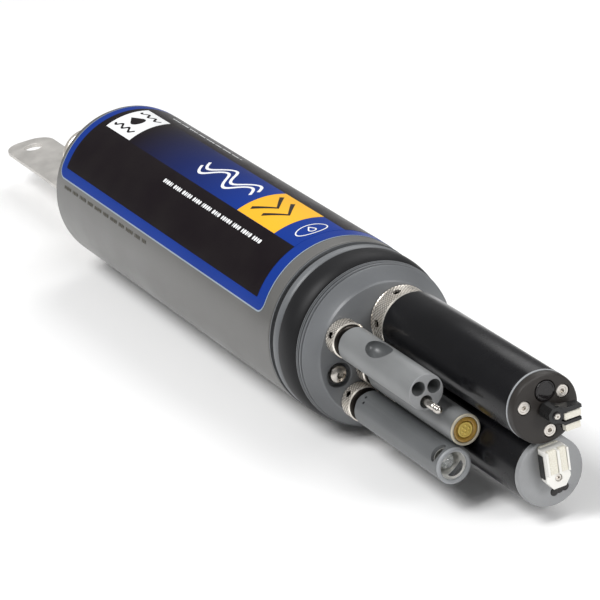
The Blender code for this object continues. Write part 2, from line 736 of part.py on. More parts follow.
def make_wiper_a(shaft_start):
    """Dark arm on the shaft with two foam bars, all inside the probe's own radius."""
    hub_x = PLATE_FACE_X + 0.6
    hub_top = FRONT_END_X - 0.3
    arm_x = hub_x + 1.8
    arm_top = hub_x + 4.4
    arm = prism("wiper_arm_a", rounded_box(-3.0, 11.2, -7.7, 0.6, 1.4), arm_x, arm_top,
                DARK_GREY_PLASTIC, OPTICAL_A)
    hub_profile = cylinder_profile(hub_x, hub_top, 3.4)
    hub = cutter("join_hub_a", lambda bm: add_turned(bm, hub_profile, 16), OPTICAL_A)
    combine(arm, hub, "UNION")
    shaft_end = hub_x + 5.0
    cut_hub(arm, "a", OPTICAL_A, hub_x, shaft_end, hub_top)
    shaft = cylinder_profile(shaft_start, shaft_end - GAP, SHAFT_RADIUS)
    turned("wiper_shaft_a", shaft, STEEL, OPTICAL_A, 12)
    bar_x = arm_top + GAP
    for k, low in enumerate((-7.6, -2.9)):
        bar = rounded_box(4.3, 11.0, low, low + 3.4, 0.9)
        prism(f"wiper_foam_a_{k + 1}", bar, bar_x, bar_x + 2.6, FOAM, OPTICAL_A)
    set_screw = cylinder_profile(hub_top - SET_SCREW_DEPTH + GAP, FRONT_END_X, SET_SCREW_RADIUS)
    turned("wiper_screw_a", set_screw, STEEL, OPTICAL_A, 10)


def cut_hub(arm, label, centre, start, bore_end, top):
    """Bores a wiper's hub for its shaft from behind and for its set screw from the front."""
    def bores(bm):
        add_turned(bm, cylinder_profile(start - 2, bore_end, SHAFT_RADIUS + 0.1), 12)
        add_turned(bm, cylinder_profile(top - SET_SCREW_DEPTH, top + 2, SET_SCREW_RADIUS + GAP), 10)

    combine(arm, cutter(f"cut_hub_{label}", bores, centre))


def spot_at(name, profile, y, z):
    return cutter(name, lambda bm: add_turned(bm, profile, 12, y, z), OPTICAL_B)


def make_probe_b():
    """Optical probe with a light grey end plate, a row of small lenses and a white wiper block."""
    make_optical_body("b", OPTICAL_B, PLAIN_PLATE_REAR_X - GAP)
    shaft_start = make_optical_inside("b", OPTICAL_B, PLAIN_PLATE_REAR_X - 0.5, plate_screws=False)
    plate = turned(
        "end_plate_b",
        ring_profile(PLAIN_PLATE_REAR_X, PLAIN_PLATE_FACE_X, SHAFT_HOLE, OPTICAL_RADIUS, chamfer=0.4),
        LIGHT_GREY_PLASTIC,
        OPTICAL_B,
        OPTICAL_STEM.sides,
    )

    lens = None
    for k, (y, z) in enumerate(LENS_SPOTS):
        hole = cylinder_profile(PLAIN_PLATE_FACE_X - 1.8, PLAIN_PLATE_FACE_X + 2, LENS_RADIUS)
        spot = cylinder_profile(PLAIN_PLATE_FACE_X - 1.5, PLAIN_PLATE_FACE_X, LENS_RADIUS - GAP)
        combine(plate, spot_at(f"cut_lens_{k + 1}", hole, y, z))
        if lens is None:
            lens = spot_at("lens_b", spot, y, z)
            lens.data.materials[0] = material(WINDOW_GLASS)
        else:
            combine(lens, spot_at(f"join_lens_{k + 1}", spot, y, z), "UNION")
    make_wiper_b(shaft_start)


def make_wiper_b(shaft_start):
    """White wiper block on the shaft with a foam pad towards the window."""
    back = PLAIN_PLATE_FACE_X + 0.4
    top = back + 6.8
    block = prism("wiper_arm_b", rounded_box(-5.2, 5.2, -3.7, 12.6, 2.6), back + 2.6, top,
                  WHITE_PLASTIC, OPTICAL_B)

    def ridges(bm):
        for low in (-4.6, 1.0):
            add_prism(bm, rounded_box(low, low + 3.6, 3.2, 12.2, 1.0), top - 0.8, top + 1.8)

    combine(block, cutter("join_ridges_b", ridges, OPTICAL_B), "UNION")
    shaft_end = back + 4.4
    cut_hub(block, "b", OPTICAL_B, back, shaft_end, top)
    shaft = cylinder_profile(shaft_start, shaft_end - GAP, SHAFT_RADIUS)
    turned("wiper_shaft_b", shaft, STEEL, OPTICAL_B, 12)
    prism("wiper_foam_b", rounded_box(-4.9, 4.9, 2.2, 12.4, 1.2), back, back + 2.3, FOAM, OPTICAL_B)
    set_screw = cylinder_profile(top - SET_SCREW_DEPTH + GAP, top + 0.3, SET_SCREW_RADIUS)
    turned("wiper_screw_b", set_screw, STEEL, OPTICAL_B, 10)


def make_conductivity_probe():
    """Slim body with two flow bores that meet a side scoop, and a temperature pin in a third bore."""
    shoulder = SLIM_SHOULDER_X
    profile = stem_profile(SLIM_STEM, shoulder) + slim_neck(shoulder, SLIM_RADIUS) + [
        (CONDUCTIVITY_FACE_X - 0.25, SLIM_RADIUS), (CONDUCTIVITY_FACE_X, SLIM_RADIUS - 0.25),
        (CONDUCTIVITY_FACE_X, 0.0),
    ]
    body = turned("conductivity_body", profile, GREY_PLASTIC, CONDUCTIVITY, 20)

    def flow_bores(bm):
        open_end = CONDUCTIVITY_FACE_X + 2
        bore = cylinder_profile(CONDUCTIVITY_BORE_END_X, open_end, CONDUCTIVITY_BORE_RADIUS)
        for angle in CONDUCTIVITY_BORE_ANGLES:
            y, z = polar(CONDUCTIVITY_BORE_CIRCLE, angle)
            add_turned(bm, bore, 14, y, z)
        y, z = polar(CONDUCTIVITY_BORE_CIRCLE, THERMISTOR_ANGLE)
        add_turned(bm, cylinder_profile(310.0, CONDUCTIVITY_FACE_X + 2, 2.6), 12, y, z)

    def scoop(bm):
        made = bmesh.ops.create_uvsphere(bm, u_segments=12, v_segments=8, radius=1.0)
        shape = Matrix.Rotation(math.radians(9), 4, "X") @ Matrix.Translation((290.0, 0, 6.6))
        shape = shape @ Matrix.Diagonal((7.2, 4.6, 4.6, 1.0))
        bmesh.ops.transform(bm, matrix=shape, verts=made["verts"])

    combine(body, cutter("cut_flow_bores", flow_bores, CONDUCTIVITY))
    combine(body, cutter("cut_scoop", scoop, CONDUCTIVITY))
    y, z = polar(CONDUCTIVITY_BORE_CIRCLE, THERMISTOR_ANGLE)
    tip = THERMISTOR_TIP_X
    pin = [
        (310.0 + GAP, 0.0), (310.0 + GAP, 1.5), (tip - 4.6, 1.5), (tip - 4.2, 1.1), (tip - 3.2, 1.1),
        (tip - 2.8, 1.6), (tip - 1.0, 1.6), (tip - 0.2, 0.9), (tip, 0.0),
    ]
    turned("thermistor_pin", pin, STEEL, (CONDUCTIVITY[0] + y, CONDUCTIVITY[1] + z), 12)


def make_ion_probe():
    """Slim body with an amber tip ring round a yellow membrane."""
    shoulder = SLIM_SHOULDER_X
    profile = stem_profile(SLIM_STEM, shoulder) + slim_neck(shoulder, ION_RADIUS) + [
        (ION_FACE_X - 0.5, ION_RADIUS), (ION_FACE_X, ION_RADIUS - 0.4), (ION_FACE_X, 5.3), (ION_FACE_X - 5, 5.3), (ION_FACE_X - 5, 0.0),
    ]
    turned("ion_body", profile, GREY_PLASTIC, ION, 20)
    turned(
        "ion_tip_ring",
        ring_profile(ION_FACE_X - 4.7, ION_FACE_X - 0.3, 3.4, 5.0, chamfer=0.3),
        AMBER_PLASTIC,
        ION,
        16,
    )
    membrane = [
        (ION_FACE_X - 4.7, 0.0), (ION_FACE_X - 4.7, 3.1), (ION_FACE_X - 0.5, 3.1), (ION_FACE_X - 0.2, 2.6),
        (ION_FACE_X - 0.2, 0.0),
    ]
    turned("ion_membrane", membrane, YELLOW_MEMBRANE, ION, 16)


def make_ph_probe():
    """Slim guard body, open at its end, with windows in its wall round a glass bulb."""
    shoulder = SLIM_SHOULDER_X
    profile = stem_profile(SLIM_STEM, shoulder) + slim_neck(shoulder, SLIM_RADIUS) + [
        (GUARD_END_X - 0.3, SLIM_RADIUS), (GUARD_END_X, SLIM_RADIUS - 0.3), (GUARD_END_X, GUARD_BORE), (GUARD_FLOOR_X, GUARD_BORE),
        (GUARD_FLOOR_X, 0.0),
    ]
    body = turned("ph_body", profile, DARK_GREY_PLASTIC, PH, 20)

    def windows(bm):
        for degrees in (125.0, 305.0):
            made = bmesh.ops.create_cone(
                bm, cap_ends=True, segments=10, radius1=1.0, radius2=1.0, depth=6.0
            )
            upright = Matrix.Rotation(math.radians(degrees - 90), 4, "X")
            spot = upright @ Matrix.Translation((330.6, 0, 7.0)) @ Matrix.Diagonal((1.9, 3.4, 1.0, 1.0))
            bmesh.ops.transform(bm, matrix=spot, verts=made["verts"])

    def stem_socket(bm):
        add_turned(bm, cylinder_profile(305.0, GUARD_FLOOR_X + 2, 2.6 + GAP), 12)

    combine(body, cutter("cut_guard_windows", windows, PH))
    combine(body, cutter("cut_stem_socket", stem_socket, PH))
    steps = 6
    bulb = [(305.0 + GAP, 0.0), (305.0 + GAP, 2.2)]
    start = math.asin(2.2 / BULB_RADIUS)
    for k in range(steps + 1):
        a = math.pi - start - (math.pi - start) * k / steps
        radius = 0.0 if k == steps else BULB_RADIUS * math.sin(a)
        bulb.append((BULB_X + BULB_RADIUS * math.cos(a), radius))
    turned("ph_bulb", bulb, BULB_GLASS, PH, 16)


PROBE_PORTS = (
    (OPTICAL_A, OPTICAL_STEM),
    (OPTICAL_B, OPTICAL_STEM),
    (CONDUCTIVITY, SLIM_STEM),
    (ION, SLIM_STEM),
    (PH, SLIM_STEM),
)


def make_axis():
    axis = bpy.data.objects.new("sonde_axis", None)
    bpy.context.scene.collection.objects.link(axis)
    axis.location = (-(BAIL_TIP_X + FRONT_END_X) / 2 * MM, 0.0, AXIS_HEIGHT * MM)


def main():
    clear_scene()
    make_axis()
    make_tube()
    make_label()
    make_bulkhead()
    make_bulkhead_fittings()
    make_rear_cap()
    make_bail()
    make_connector()
    make_inside()
    make_stem_fittings("a", OPTICAL_A, OPTICAL_STEM, 13.3, OPTICAL_SHOULDER_X)
    make_stem_fittings("b", OPTICAL_B, OPTICAL_STEM, 13.3, OPTICAL_SHOULDER_X)
    make_stem_fittings("conductivity", CONDUCTIVITY, SLIM_STEM, 7.6, SLIM_SHOULDER_X)
    make_stem_fittings("ion", ION, SLIM_STEM, 6.6, SLIM_SHOULDER_X)
    make_stem_fittings("ph", PH, SLIM_STEM, 7.6, SLIM_SHOULDER_X)
    make_probe_a()
    make_probe_b()
    make_conductivity_probe()
    make_ion_probe()
    make_ph_probe()


main()
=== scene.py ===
"""Looks of the water quality probe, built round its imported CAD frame.

Sizes are in millimetres. x is measured along the tube's axis from its rear rim towards the sensor probes, and
y and z from that axis; the makers turn them into the frame's metres. The places of the tube, probes and nuts
are read from the CAD nodes.
"""
import itertools
import json
import math

import bmesh
import bpy
from mathutils import Matrix, Vector


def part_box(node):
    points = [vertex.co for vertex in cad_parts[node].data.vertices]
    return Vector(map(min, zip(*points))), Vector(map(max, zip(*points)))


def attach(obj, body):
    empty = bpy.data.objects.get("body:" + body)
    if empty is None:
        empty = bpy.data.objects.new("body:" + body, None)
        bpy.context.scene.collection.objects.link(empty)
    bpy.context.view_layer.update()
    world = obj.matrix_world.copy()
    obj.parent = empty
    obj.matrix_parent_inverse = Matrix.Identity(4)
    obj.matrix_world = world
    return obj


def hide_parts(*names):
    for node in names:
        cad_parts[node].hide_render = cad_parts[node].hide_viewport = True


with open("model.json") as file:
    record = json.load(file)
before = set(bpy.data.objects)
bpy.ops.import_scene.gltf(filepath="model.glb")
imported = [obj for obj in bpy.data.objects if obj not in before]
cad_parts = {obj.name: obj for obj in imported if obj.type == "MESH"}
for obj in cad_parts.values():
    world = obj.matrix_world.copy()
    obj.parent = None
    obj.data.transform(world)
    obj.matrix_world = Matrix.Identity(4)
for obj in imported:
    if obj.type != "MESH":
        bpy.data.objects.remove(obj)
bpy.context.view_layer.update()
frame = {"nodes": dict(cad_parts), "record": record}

MM = 0.001

TUBE_LOW, TUBE_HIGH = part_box("housing_tube")
ORIGIN = Vector((TUBE_LOW.x, 0.0, (TUBE_LOW.z + TUBE_HIGH.z) / 2))
TUBE_END = (TUBE_HIGH.x - TUBE_LOW.x) / MM
TUBE_RADIUS = 36.8
AXIS = (0.0, 0.0)


def axis_of(node):
    """Centre (y, z) of a round CAD node, in millimetres from the tube's axis."""
    low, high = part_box(node)
    middle = ((low + high) / 2 - ORIGIN) / MM
    return middle.y, middle.z


def reach_of(node):
    """Lowest and highest x of a CAD node, in millimetres from the rear rim."""
    low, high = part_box(node)
    return (low.x - ORIGIN.x) / MM, (high.x - ORIGIN.x) / MM


PROBE_A = axis_of("nut_a")
PROBE_B = axis_of("nut_b")
CONDUCTIVITY = axis_of("nut_conductivity")
ION = axis_of("nut_ion")
PH = axis_of("nut_ph")
FACE_X = reach_of("front_bulkhead")[1]

# Where most pieces go: the (y, z) of their own axis, and the body that they ride on.
SONDE = (AXIS, "sonde")
OPTICAL_A = (PROBE_A, "optical_probe_a")
OPTICAL_B = (PROBE_B, "optical_probe_b")
WIPER_A = (PROBE_A, "wiper_a")
WIPER_B = (PROBE_B, "wiper_b")
CELL = (CONDUCTIVITY, "conductivity_probe")
ION_PROBE = (ION, "ion_probe")
PH_PROBE = (PH, "ph_probe")


# Materials

class Paint:
    """A Principled material laid out in code, in coordinates that move with the piece."""

    def __init__(self, name, colour, roughness, metallic=0.0):
        self.material = bpy.data.materials.new(name)
        self.material.use_nodes = True
        self.tree = self.material.node_tree
        self.shader = self.tree.nodes["Principled BSDF"]
        self.put("Base Color", colour)
        self.put("Roughness", roughness)
        self.put("Metallic", metallic)
        self.place = self.tree.nodes.new("ShaderNodeTexCoord").outputs["Object"]

    def feed(self, socket, value):
        """Links an input to a socket or sets its value; None keeps its default."""
        if value is None:
            return
        if isinstance(value, bpy.types.NodeSocket):
            self.tree.links.new(value, socket)
            return
        socket.default_value = (*value, 1.0) if socket.type == "RGBA" else value

    def put(self, name, value):
        """Feeds one of the shader's own inputs."""
        self.feed(self.shader.inputs[name], value)

    def node(self, kind, *inputs, **settings):
        """Adds a node and feeds its inputs in order."""
        made = self.tree.nodes.new("ShaderNode" + kind)
        for key, value in settings.items():
            setattr(made, key, value)
        for k, value in enumerate(inputs):
            self.feed(made.inputs[k], value)
        return made

    def math(self, operation, a, b=None, c=None):
        return self.node("Math", a, b, c, operation=operation).outputs[0]

    def noise(self, scale, stretch=(1, 1, 1), detail=3.0):
        scaled = self.node("Mapping", self.place, None, None, stretch)
        return self.node("TexNoise", scaled.outputs[0], None, scale, detail).outputs[0]

    def spread(self, value, low, high, new_low=0.0, new_high=1.0):
        return self.node("MapRange", value, low, high, new_low, new_high).outputs[0]

    def mix(self, share, a, b):
        made = self.node("Mix", data_type="RGBA")
        for k, value in ((0, share), (6, a), (7, b)):
            self.feed(made.inputs[k], value)
        return made.outputs[2]

    def finish(self, tone, cloud, smoothest, roughest):
        """Sets the colour and a roughness that follows a cloud, and gives the material."""
        self.put("Base Color", tone)
        self.put("Roughness", self.spread(cloud, 0.3, 0.7, smoothest, roughest))
        return self.material

    def around(self):
        """The place's x in millimetres, its y and z, and its angle round X."""
        x, y, z = self.node("SeparateXYZ", self.place).outputs
        return self.math("DIVIDE", x, MM), y, z, self.math("ARCTAN2", z, y)

    def bump(self, height, distance):
        """Adds relief on top of any that the shader has."""
        made = self.node("Bump")
        made.inputs["Distance"].default_value = distance
        self.feed(made.inputs["Height"], height)
        before = self.shader.inputs["Normal"].links
        if before:
            self.feed(made.inputs["Normal"], before[0].from_socket)
        self.put("Normal", made.outputs[0])


def shade(colour, factor):
    return tuple(min(1.0, c * factor) for c in colour)


def worn(name, colour, roughness, metallic=0.0, variation=0.10, grain=300.0, turned=0.0, bump=0.01, edge=0.25,
         gloss=0.5):
    """Plastic, rubber or metal with mottled colour, uneven gloss, turning marks and paler edges."""
    paint = Paint(name, colour, roughness, metallic)
    paint.put("Specular IOR Level", gloss)
    cloud = paint.noise(grain * 0.12, detail=4.0)
    fine = paint.noise(grain * 6.0)
    dark, pale = shade(colour, 1 - variation), shade(colour, 1 + variation)
    tone = paint.mix(paint.spread(cloud, 0.3, 0.7), dark, pale)
    tone = paint.mix(paint.spread(fine, 0.35, 0.75, 0.0, 0.5 * variation), tone, shade(colour, 1.6))
    pointed = paint.node("NewGeometry").outputs["Pointiness"]
    rim = paint.spread(pointed, 0.52, 0.60, 0.0, edge)
    rim = paint.math("MULTIPLY", rim, paint.spread(cloud, 0.3, 0.6, 0.5, 1.0))
    tone = paint.mix(rim, tone, shade(colour, 2.0 if metallic == 0 else 1.3))
    paint.bump(fine, bump * MM)
    if turned:
        marks = paint.noise(2200.0, stretch=(1.0, 0.02, 0.02), detail=2.0)
        paint.bump(marks, turned * MM)
    return paint.finish(tone, cloud, roughness - 0.06, roughness + 0.06)


def printed(name, colour, roughness, variation=0.05, gloss=0.25):
    """Thin, even ink or film."""
    return worn(name, colour, roughness, variation=variation, bump=0.002, edge=0.0, gloss=gloss)


def knurled_steel(name, teeth, radius, start, end, rim=1.25):
    """Stainless steel with painted shade in the valleys of its diamond knurl, and painted shade where it lies
    more than rim below its radius.
    """
    paint = Paint(name, (0.62, 0.58, 0.52), 0.28, 0.75)
    x, y, z, angle = paint.around()
    across = paint.math("MULTIPLY", angle, teeth / math.tau)
    along = paint.math("MULTIPLY", paint.math("SUBTRACT", x, start), teeth / (math.tau * radius))
    ridges = []
    for t in (paint.math("ADD", across, along), paint.math("SUBTRACT", across, along)):
        part = paint.math("FRACT", t)
        ridges.append(paint.math("ABSOLUTE", paint.math("MULTIPLY_ADD", part, 2.0, -1.0)))
    height = paint.math("MINIMUM", ridges[0], ridges[1])
    beyond = paint.math("ADD", paint.math("LESS_THAN", x, start), paint.math("GREATER_THAN", x, end))
    height = paint.math("MAXIMUM", height, beyond)
    cloud = paint.noise(250.0)
    # Painted shade: the knurl's valleys are darkened to a deep brown, while its crests stay pale.
    tone = paint.mix(paint.spread(height, 0.06, 0.34), (0.12, 0.095, 0.075), (0.95, 0.90, 0.82))
    tone = paint.mix(paint.spread(cloud, 0.4, 0.7, 0.0, 0.4), tone, (0.40, 0.35, 0.29))
    # Painted shade: surfaces more than rim below the radius (spanner holes, nose and front face) are darkened
    # almost to black.
    square = paint.math("ADD", paint.math("POWER", y, 2.0), paint.math("POWER", z, 2.0))
    painted_shade_mask = paint.math("LESS_THAN", paint.math("SQRT", square), (radius - rim) * MM)
    return paint.finish(paint.mix(painted_shade_mask, tone, (0.020, 0.016, 0.013)), cloud, 0.24, 0.40)


def label_panel():
    """Near-black film with a stripe that fades in from black to the border's blue towards the front."""
    paint = Paint("label_panel", (0.010, 0.006, 0.008), 0.36)
    paint.put("Specular IOR Level", 0.10)
    x, _, _, angle = paint.around()
    angle = paint.math("MULTIPLY", angle, 180 / math.pi)
    blur = 0.15
    above = paint.spread(angle, STRIPE_LOW_DEG - blur, STRIPE_LOW_DEG + blur)
    below = paint.spread(angle, STRIPE_HIGH_DEG - blur, STRIPE_HIGH_DEG + blur, 1.0, 0.0)
    fade = paint.math("POWER", paint.spread(x, 38.0, 158.0), 1.3)
    stripe = paint.math("MULTIPLY", paint.math("MULTIPLY", above, below), fade)
    cloud = paint.noise(60.0, detail=4.0)
    black = paint.mix(paint.spread(cloud, 0.3, 0.7), (0.007, 0.004, 0.006), (0.011, 0.008, 0.009))
    paint.bump(paint.noise(1500.0), 0.002 * MM)
    return paint.finish(paint.mix(stripe, black, BORDER_BLUE), cloud, 0.30, 0.38)


def foam():
    """Open-cell foam in off-white."""
    paint = Paint("wiper_foam", (0.70, 0.67, 0.56), 0.95)
    cells = paint.node("TexVoronoi", paint.place, None, 2600.0).outputs[0]
    cloud = paint.noise(500.0)
    tone = paint.mix(paint.spread(cells, 0.0, 0.6), (0.88, 0.87, 0.80), (0.70, 0.67, 0.58))
    paint.put("Base Color", paint.mix(paint.spread(cloud, 0.4, 0.7, 0.0, 0.3), tone, (0.72, 0.68, 0.56)))
    paint.bump(cells, 0.12 * MM)
    return paint.material


def dark_glass():
    """Polished black window with faint smears."""
    paint = Paint("dark_glass", (0.010, 0.009, 0.010), 0.06)
    smear = paint.noise(180.0, detail=5.0)
    tone = paint.mix(paint.spread(smear, 0.3, 0.7), (0.008, 0.007, 0.008), (0.016, 0.014, 0.014))
    paint.put("Base Color", tone)
    paint.put("Roughness", paint.spread(smear, 0.35, 0.75, 0.05, 0.16))
    paint.put("Coat Weight", 0.15)
    paint.put("Specular IOR Level", 0.3)
    return paint.material


def clear_glass():
    """Thin clear glass with a slight milky bloom."""
    paint = Paint("clear_glass", (0.86, 0.90, 0.90), 0.05)
    bloom = paint.noise(400.0, detail=4.0)
    tone = paint.mix(paint.spread(bloom, 0.3, 0.7), (0.80, 0.84, 0.84), (0.95, 0.97, 0.97))
    paint.put("Transmission Weight", 0.75)
    paint.put("IOR", 1.47)
    return paint.finish(tone, bloom, 0.02, 0.12)


def circuit_board():
    """Green solder mask over rectangular traces."""
    paint = Paint("circuit_board", (0.02, 0.14, 0.06), 0.4)
    traces = paint.node("TexBrick", paint.place)
    traces.inputs["Scale"].default_value = 160.0
    tone = paint.mix(traces.outputs["Fac"], (0.015, 0.11, 0.045), (0.05, 0.25, 0.10))
    paint.bump(traces.outputs["Fac"], 0.03 * MM)
    return paint.finish(tone, paint.noise(300.0), 0.3, 0.5)


GREY_PVC = worn("grey_pvc", (0.120, 0.118, 0.113), 0.36, turned=0.010)
COOL_PVC = worn("cool_grey_pvc", (0.128, 0.134, 0.141), 0.38, turned=0.014)
PROBE_PVC = worn("probe_grey_pvc", (0.175, 0.180, 0.182), 0.40, turned=0.008)
DARK_PVC = worn("dark_grey_pvc", (0.100, 0.105, 0.108), 0.42, turned=0.008)
PALE_PVC = worn("pale_grey_pvc", (0.225, 0.229, 0.234), 0.45, turned=0.006)
RIM_PVC = worn("rim_pvc", (0.060, 0.062, 0.060), 0.5)
BLACK_ACETAL = worn(
    "black_acetal", (0.005, 0.005, 0.006), 0.24, variation=0.2, turned=0.012, edge=0.05, gloss=0.25,
)
PLATE_ACETAL = worn(
    "plate_acetal", (0.022, 0.019, 0.017), 0.40, variation=0.15, turned=0.010, edge=0.10, gloss=0.3,
)
ARM_NYLON = worn("arm_nylon", (0.010, 0.010, 0.010), 0.26, variation=0.15, bump=0.02, edge=0.20, gloss=0.4)
RUBBER = worn("black_rubber", (0.010, 0.010, 0.011), 0.55, variation=0.25, bump=0.02, edge=0.05, gloss=0.35)
BAND_RUBBER = worn(
    "band_rubber", (0.008, 0.008, 0.009), 0.50, variation=0.2, bump=0.02, edge=0.05, gloss=0.25,
)
STEEL = worn("turned_steel", (0.56, 0.53, 0.49), 0.26, 1.0, variation=0.12, turned=0.006)
BLASTED_STEEL = worn("blasted_steel", (0.62, 0.60, 0.57), 0.50, 0.6, grain=900.0, bump=0.03)
WHITE_PLASTIC = worn("white_plastic", (0.74, 0.73, 0.69), 0.42, variation=0.04, edge=0.1)
AMBER = worn("amber_resin", (0.42, 0.25, 0.05), 0.30, variation=0.2)
CREAM_RIM = worn("cream_rim", (0.50, 0.46, 0.36), 0.40, variation=0.08)
YELLOW_MEMBRANE = worn("yellow_membrane", (0.80, 0.58, 0.14), 0.38, bump=0.02)
PALE_RIM = worn("pale_rim", (0.27, 0.28, 0.29), 0.35, variation=0.08)
WHITE_PRINT = printed("white_print", (0.86, 0.87, 0.88), 0.40, 0.03)
YELLOW_PRINT = printed("yellow_print", (0.90, 0.47, 0.022), 0.38, 0.04)
DARK_PRINT = printed("dark_print", (0.020, 0.014, 0.012), 0.38)
GREY_PRINT = printed("grey_print", (0.080, 0.074, 0.055), 0.5, 0.1)
BORDER_BLUE = (0.006, 0.036, 0.26)
BLUE_PRINT = printed("blue_print", BORDER_BLUE, 0.36, gloss=0.12)
MARGIN_PRINT = printed("label_margin", (0.30, 0.36, 0.42), 0.35)
STRIPE_LOW_DEG = 71.5
STRIPE_HIGH_DEG = 108.3
PANEL = label_panel()
FOAM = foam()
DARK_GLASS = dark_glass()
CLEAR_GLASS = clear_glass()
BOARD = circuit_board()

# The looks of each finish in the record; a CAD node that stays takes the first.
FINISHES = {
    "grey_plastic": (GREY_PVC, COOL_PVC, PROBE_PVC),
    "dark_grey_plastic": (DARK_PVC, RIM_PVC, PLATE_ACETAL, ARM_NYLON),
    "light_grey_plastic": (PALE_PVC, PALE_RIM),
    "black_plastic": (BLACK_ACETAL,),
    "black_rubber": (RUBBER, BAND_RUBBER),
    "stainless_steel": (STEEL,),
    "blasted_steel": (BLASTED_STEEL,),
    "label_film": (BLUE_PRINT, MARGIN_PRINT, PANEL, YELLOW_PRINT, DARK_PRINT, WHITE_PRINT, GREY_PRINT),
    "window_glass": (DARK_GLASS,),
    "bulb_glass": (CLEAR_GLASS,),
    "wiper_foam": (FOAM,),
    "white_plastic": (WHITE_PLASTIC,),
    "amber_plastic": (AMBER, CREAM_RIM),
    "yellow_membrane": (YELLOW_MEMBRANE,),
    "circuit_board": (BOARD,),
}
SLOT_OF = {look.name: slot for slot, looks in FINISHES.items() for look in looks}


# Mesh makers

def add_object(name, data):
    made = bpy.data.objects.new(name, data)
    bpy.context.scene.collection.objects.link(made)
    return made


def add_piece(name, bm, look, at, stands_for=(), slot=None, sharp=32.0):
    """Makes a piece of a bmesh in millimetres round the axis given by at, and lets it ride on at's body.

    A slot, its look's own unless another is given, is worked out but not used."""
    centre, body = at
    bmesh.ops.scale(bm, vec=(MM, MM, MM), verts=bm.verts)
    bmesh.ops.recalc_face_normals(bm, faces=bm.faces)
    mesh = bpy.data.meshes.new(name)
    bm.to_mesh(mesh)
    bm.free()
    mesh.materials.append(look)
    piece = add_object(name, mesh)
    piece.location = ORIGIN + Vector((0.0, centre[0], centre[1])) * MM
    smooth(piece, sharp)
    if body:
        slot = slot or SLOT_OF[look.name]
        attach(piece, body)
    if stands_for:
        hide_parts(*stands_for)
    return piece


def smooth(piece, sharp=32.0):
    piece.data.shade_smooth()
    piece.data.set_sharp_from_angle(angle=math.radians(sharp))


def bake(piece):
    """Applies a piece's modifiers."""
    evaluated = piece.evaluated_get(bpy.context.evaluated_depsgraph_get())
    baked = bpy.data.meshes.new_from_object(evaluated)
    piece.modifiers.clear()
    piece.data = baked


def combine(piece, bm, centre, operation="DIFFERENCE", sharp=32.0):
    """Cuts the shape in a bmesh out of a piece, or joins it on."""
    other = add_piece("tool", bm, RUBBER, (centre, None))
    bpy.context.view_layer.update()
    step = piece.modifiers.new("step", "BOOLEAN")
    step.operation = operation
    step.object = other
    bake(piece)
    bpy.data.objects.remove(other)
    smooth(piece, sharp)


def soften(piece, width, segments=2, angle=40.0):
    """Rounds a piece's edges by a width in millimetres."""
    step = piece.modifiers.new("edges", "BEVEL")
    step.width = width * MM
    step.segments = segments
    step.limit_method = "ANGLE"
    step.angle_limit = math.radians(angle)
    even = piece.modifiers.new("even", "WEIGHTED_NORMAL")
    even.keep_sharp = False
    piece.data.shade_smooth()
    bake(piece)


def add_lathe(bm, profile, sides, y=0.0, z=0.0, relief=None):
    """Turns (x, radius) points about X: a solid if they start and end on the axis, or else a ring.

    relief(x, angle, radius) gives the radius of each point of a shaped surface."""
    rings = []
    for x, r in profile:
        if r == 0.0:
            rings.append([bm.verts.new((x, y, z))])
            continue
        ring = []
        for k in range(sides):
            a = math.tau * k / sides
            radius = relief(x, a, r) if relief else r
            ring.append(bm.verts.new((x, y + radius * math.cos(a), z + radius * math.sin(a))))
        rings.append(ring)
    solid = profile[0][1] == 0.0 and profile[-1][1] == 0.0
    pairs = list(zip(rings, rings[1:]))
    if not solid:
        pairs.append((rings[-1], rings[0]))
    for one, two in pairs:
        for k in range(sides):
            j = (k + 1) % sides
            corners = [one[k % len(one)], one[j % len(one)], two[j % len(two)], two[k % len(two)]]
            bm.faces.new(dict.fromkeys(corners))


def lathe(name, profile, look, at, stands_for=(), slot=None, sides=96, relief=None, sharp=32.0):
    bm = bmesh.new()
    add_lathe(bm, profile, sides, relief=relief)
    return add_piece(name, bm, look, at, stands_for, slot, sharp)


def rod(start, end, radius, edge=0.0):
    """Profile of a plain solid cylinder, with its far edge chamfered."""
    if edge:
        return [(start, 0.0), (start, radius), (end - edge, radius), (end, radius - edge), (end, 0.0)]
    return [(start, 0.0), (start, radius), (end, radius), (end, 0.0)]


def arc(x, y, reach_x, reach_y, first, last, steps):
    """Points on an ellipse between two angles in degrees, both included."""
    angles = [math.radians(first + (last - first) * (k / steps)) for k in range(steps + 1)]
    return [(x + reach_x * math.cos(a), y + reach_y * math.sin(a)) for a in angles]


def oval(x, y, reach_x, reach_y, steps=40):
    return arc(x, y, reach_x, reach_y, 0, 360, steps)[:-1]


def add_extruded(bm, corners, offset):
    """Adds the solid that a flat face sweeps when it moves by an offset."""
    face = bm.faces.new([bm.verts.new(corner) for corner in corners])
    grown = bmesh.ops.extrude_face_region(bm, geom=[face])
    moved = [v for v in grown["geom"] if isinstance(v, bmesh.types.BMVert)]
    bmesh.ops.translate(bm, verts=moved, vec=offset)


def add_prism(bm, outline, start, end):
    """Extrudes a flat (y, z) outline along X."""
    add_extruded(bm, [(start, y, z) for y, z in outline], (end - start, 0, 0))


def combine_prism(piece, outline, start, end, centre, operation="DIFFERENCE"):
    bm = bmesh.new()
    add_prism(bm, outline, start, end)
    combine(piece, bm, centre, operation)


def combine_lathe(piece, profile, sides, centre, operation="DIFFERENCE", sharp=32.0):
    bm = bmesh.new()
    add_lathe(bm, profile, sides)
    combine(piece, bm, centre, operation, sharp)


def recess(floor, radius, face, depth, lip, eased):
    """Profile of a round hole whose mouth opens from its radius to eased."""
    return [
        (floor, 0.0), (floor, radius), (face - depth, radius), (face + lip, eased), (face + 2, eased),
        (face + 2, 0.0),
    ]


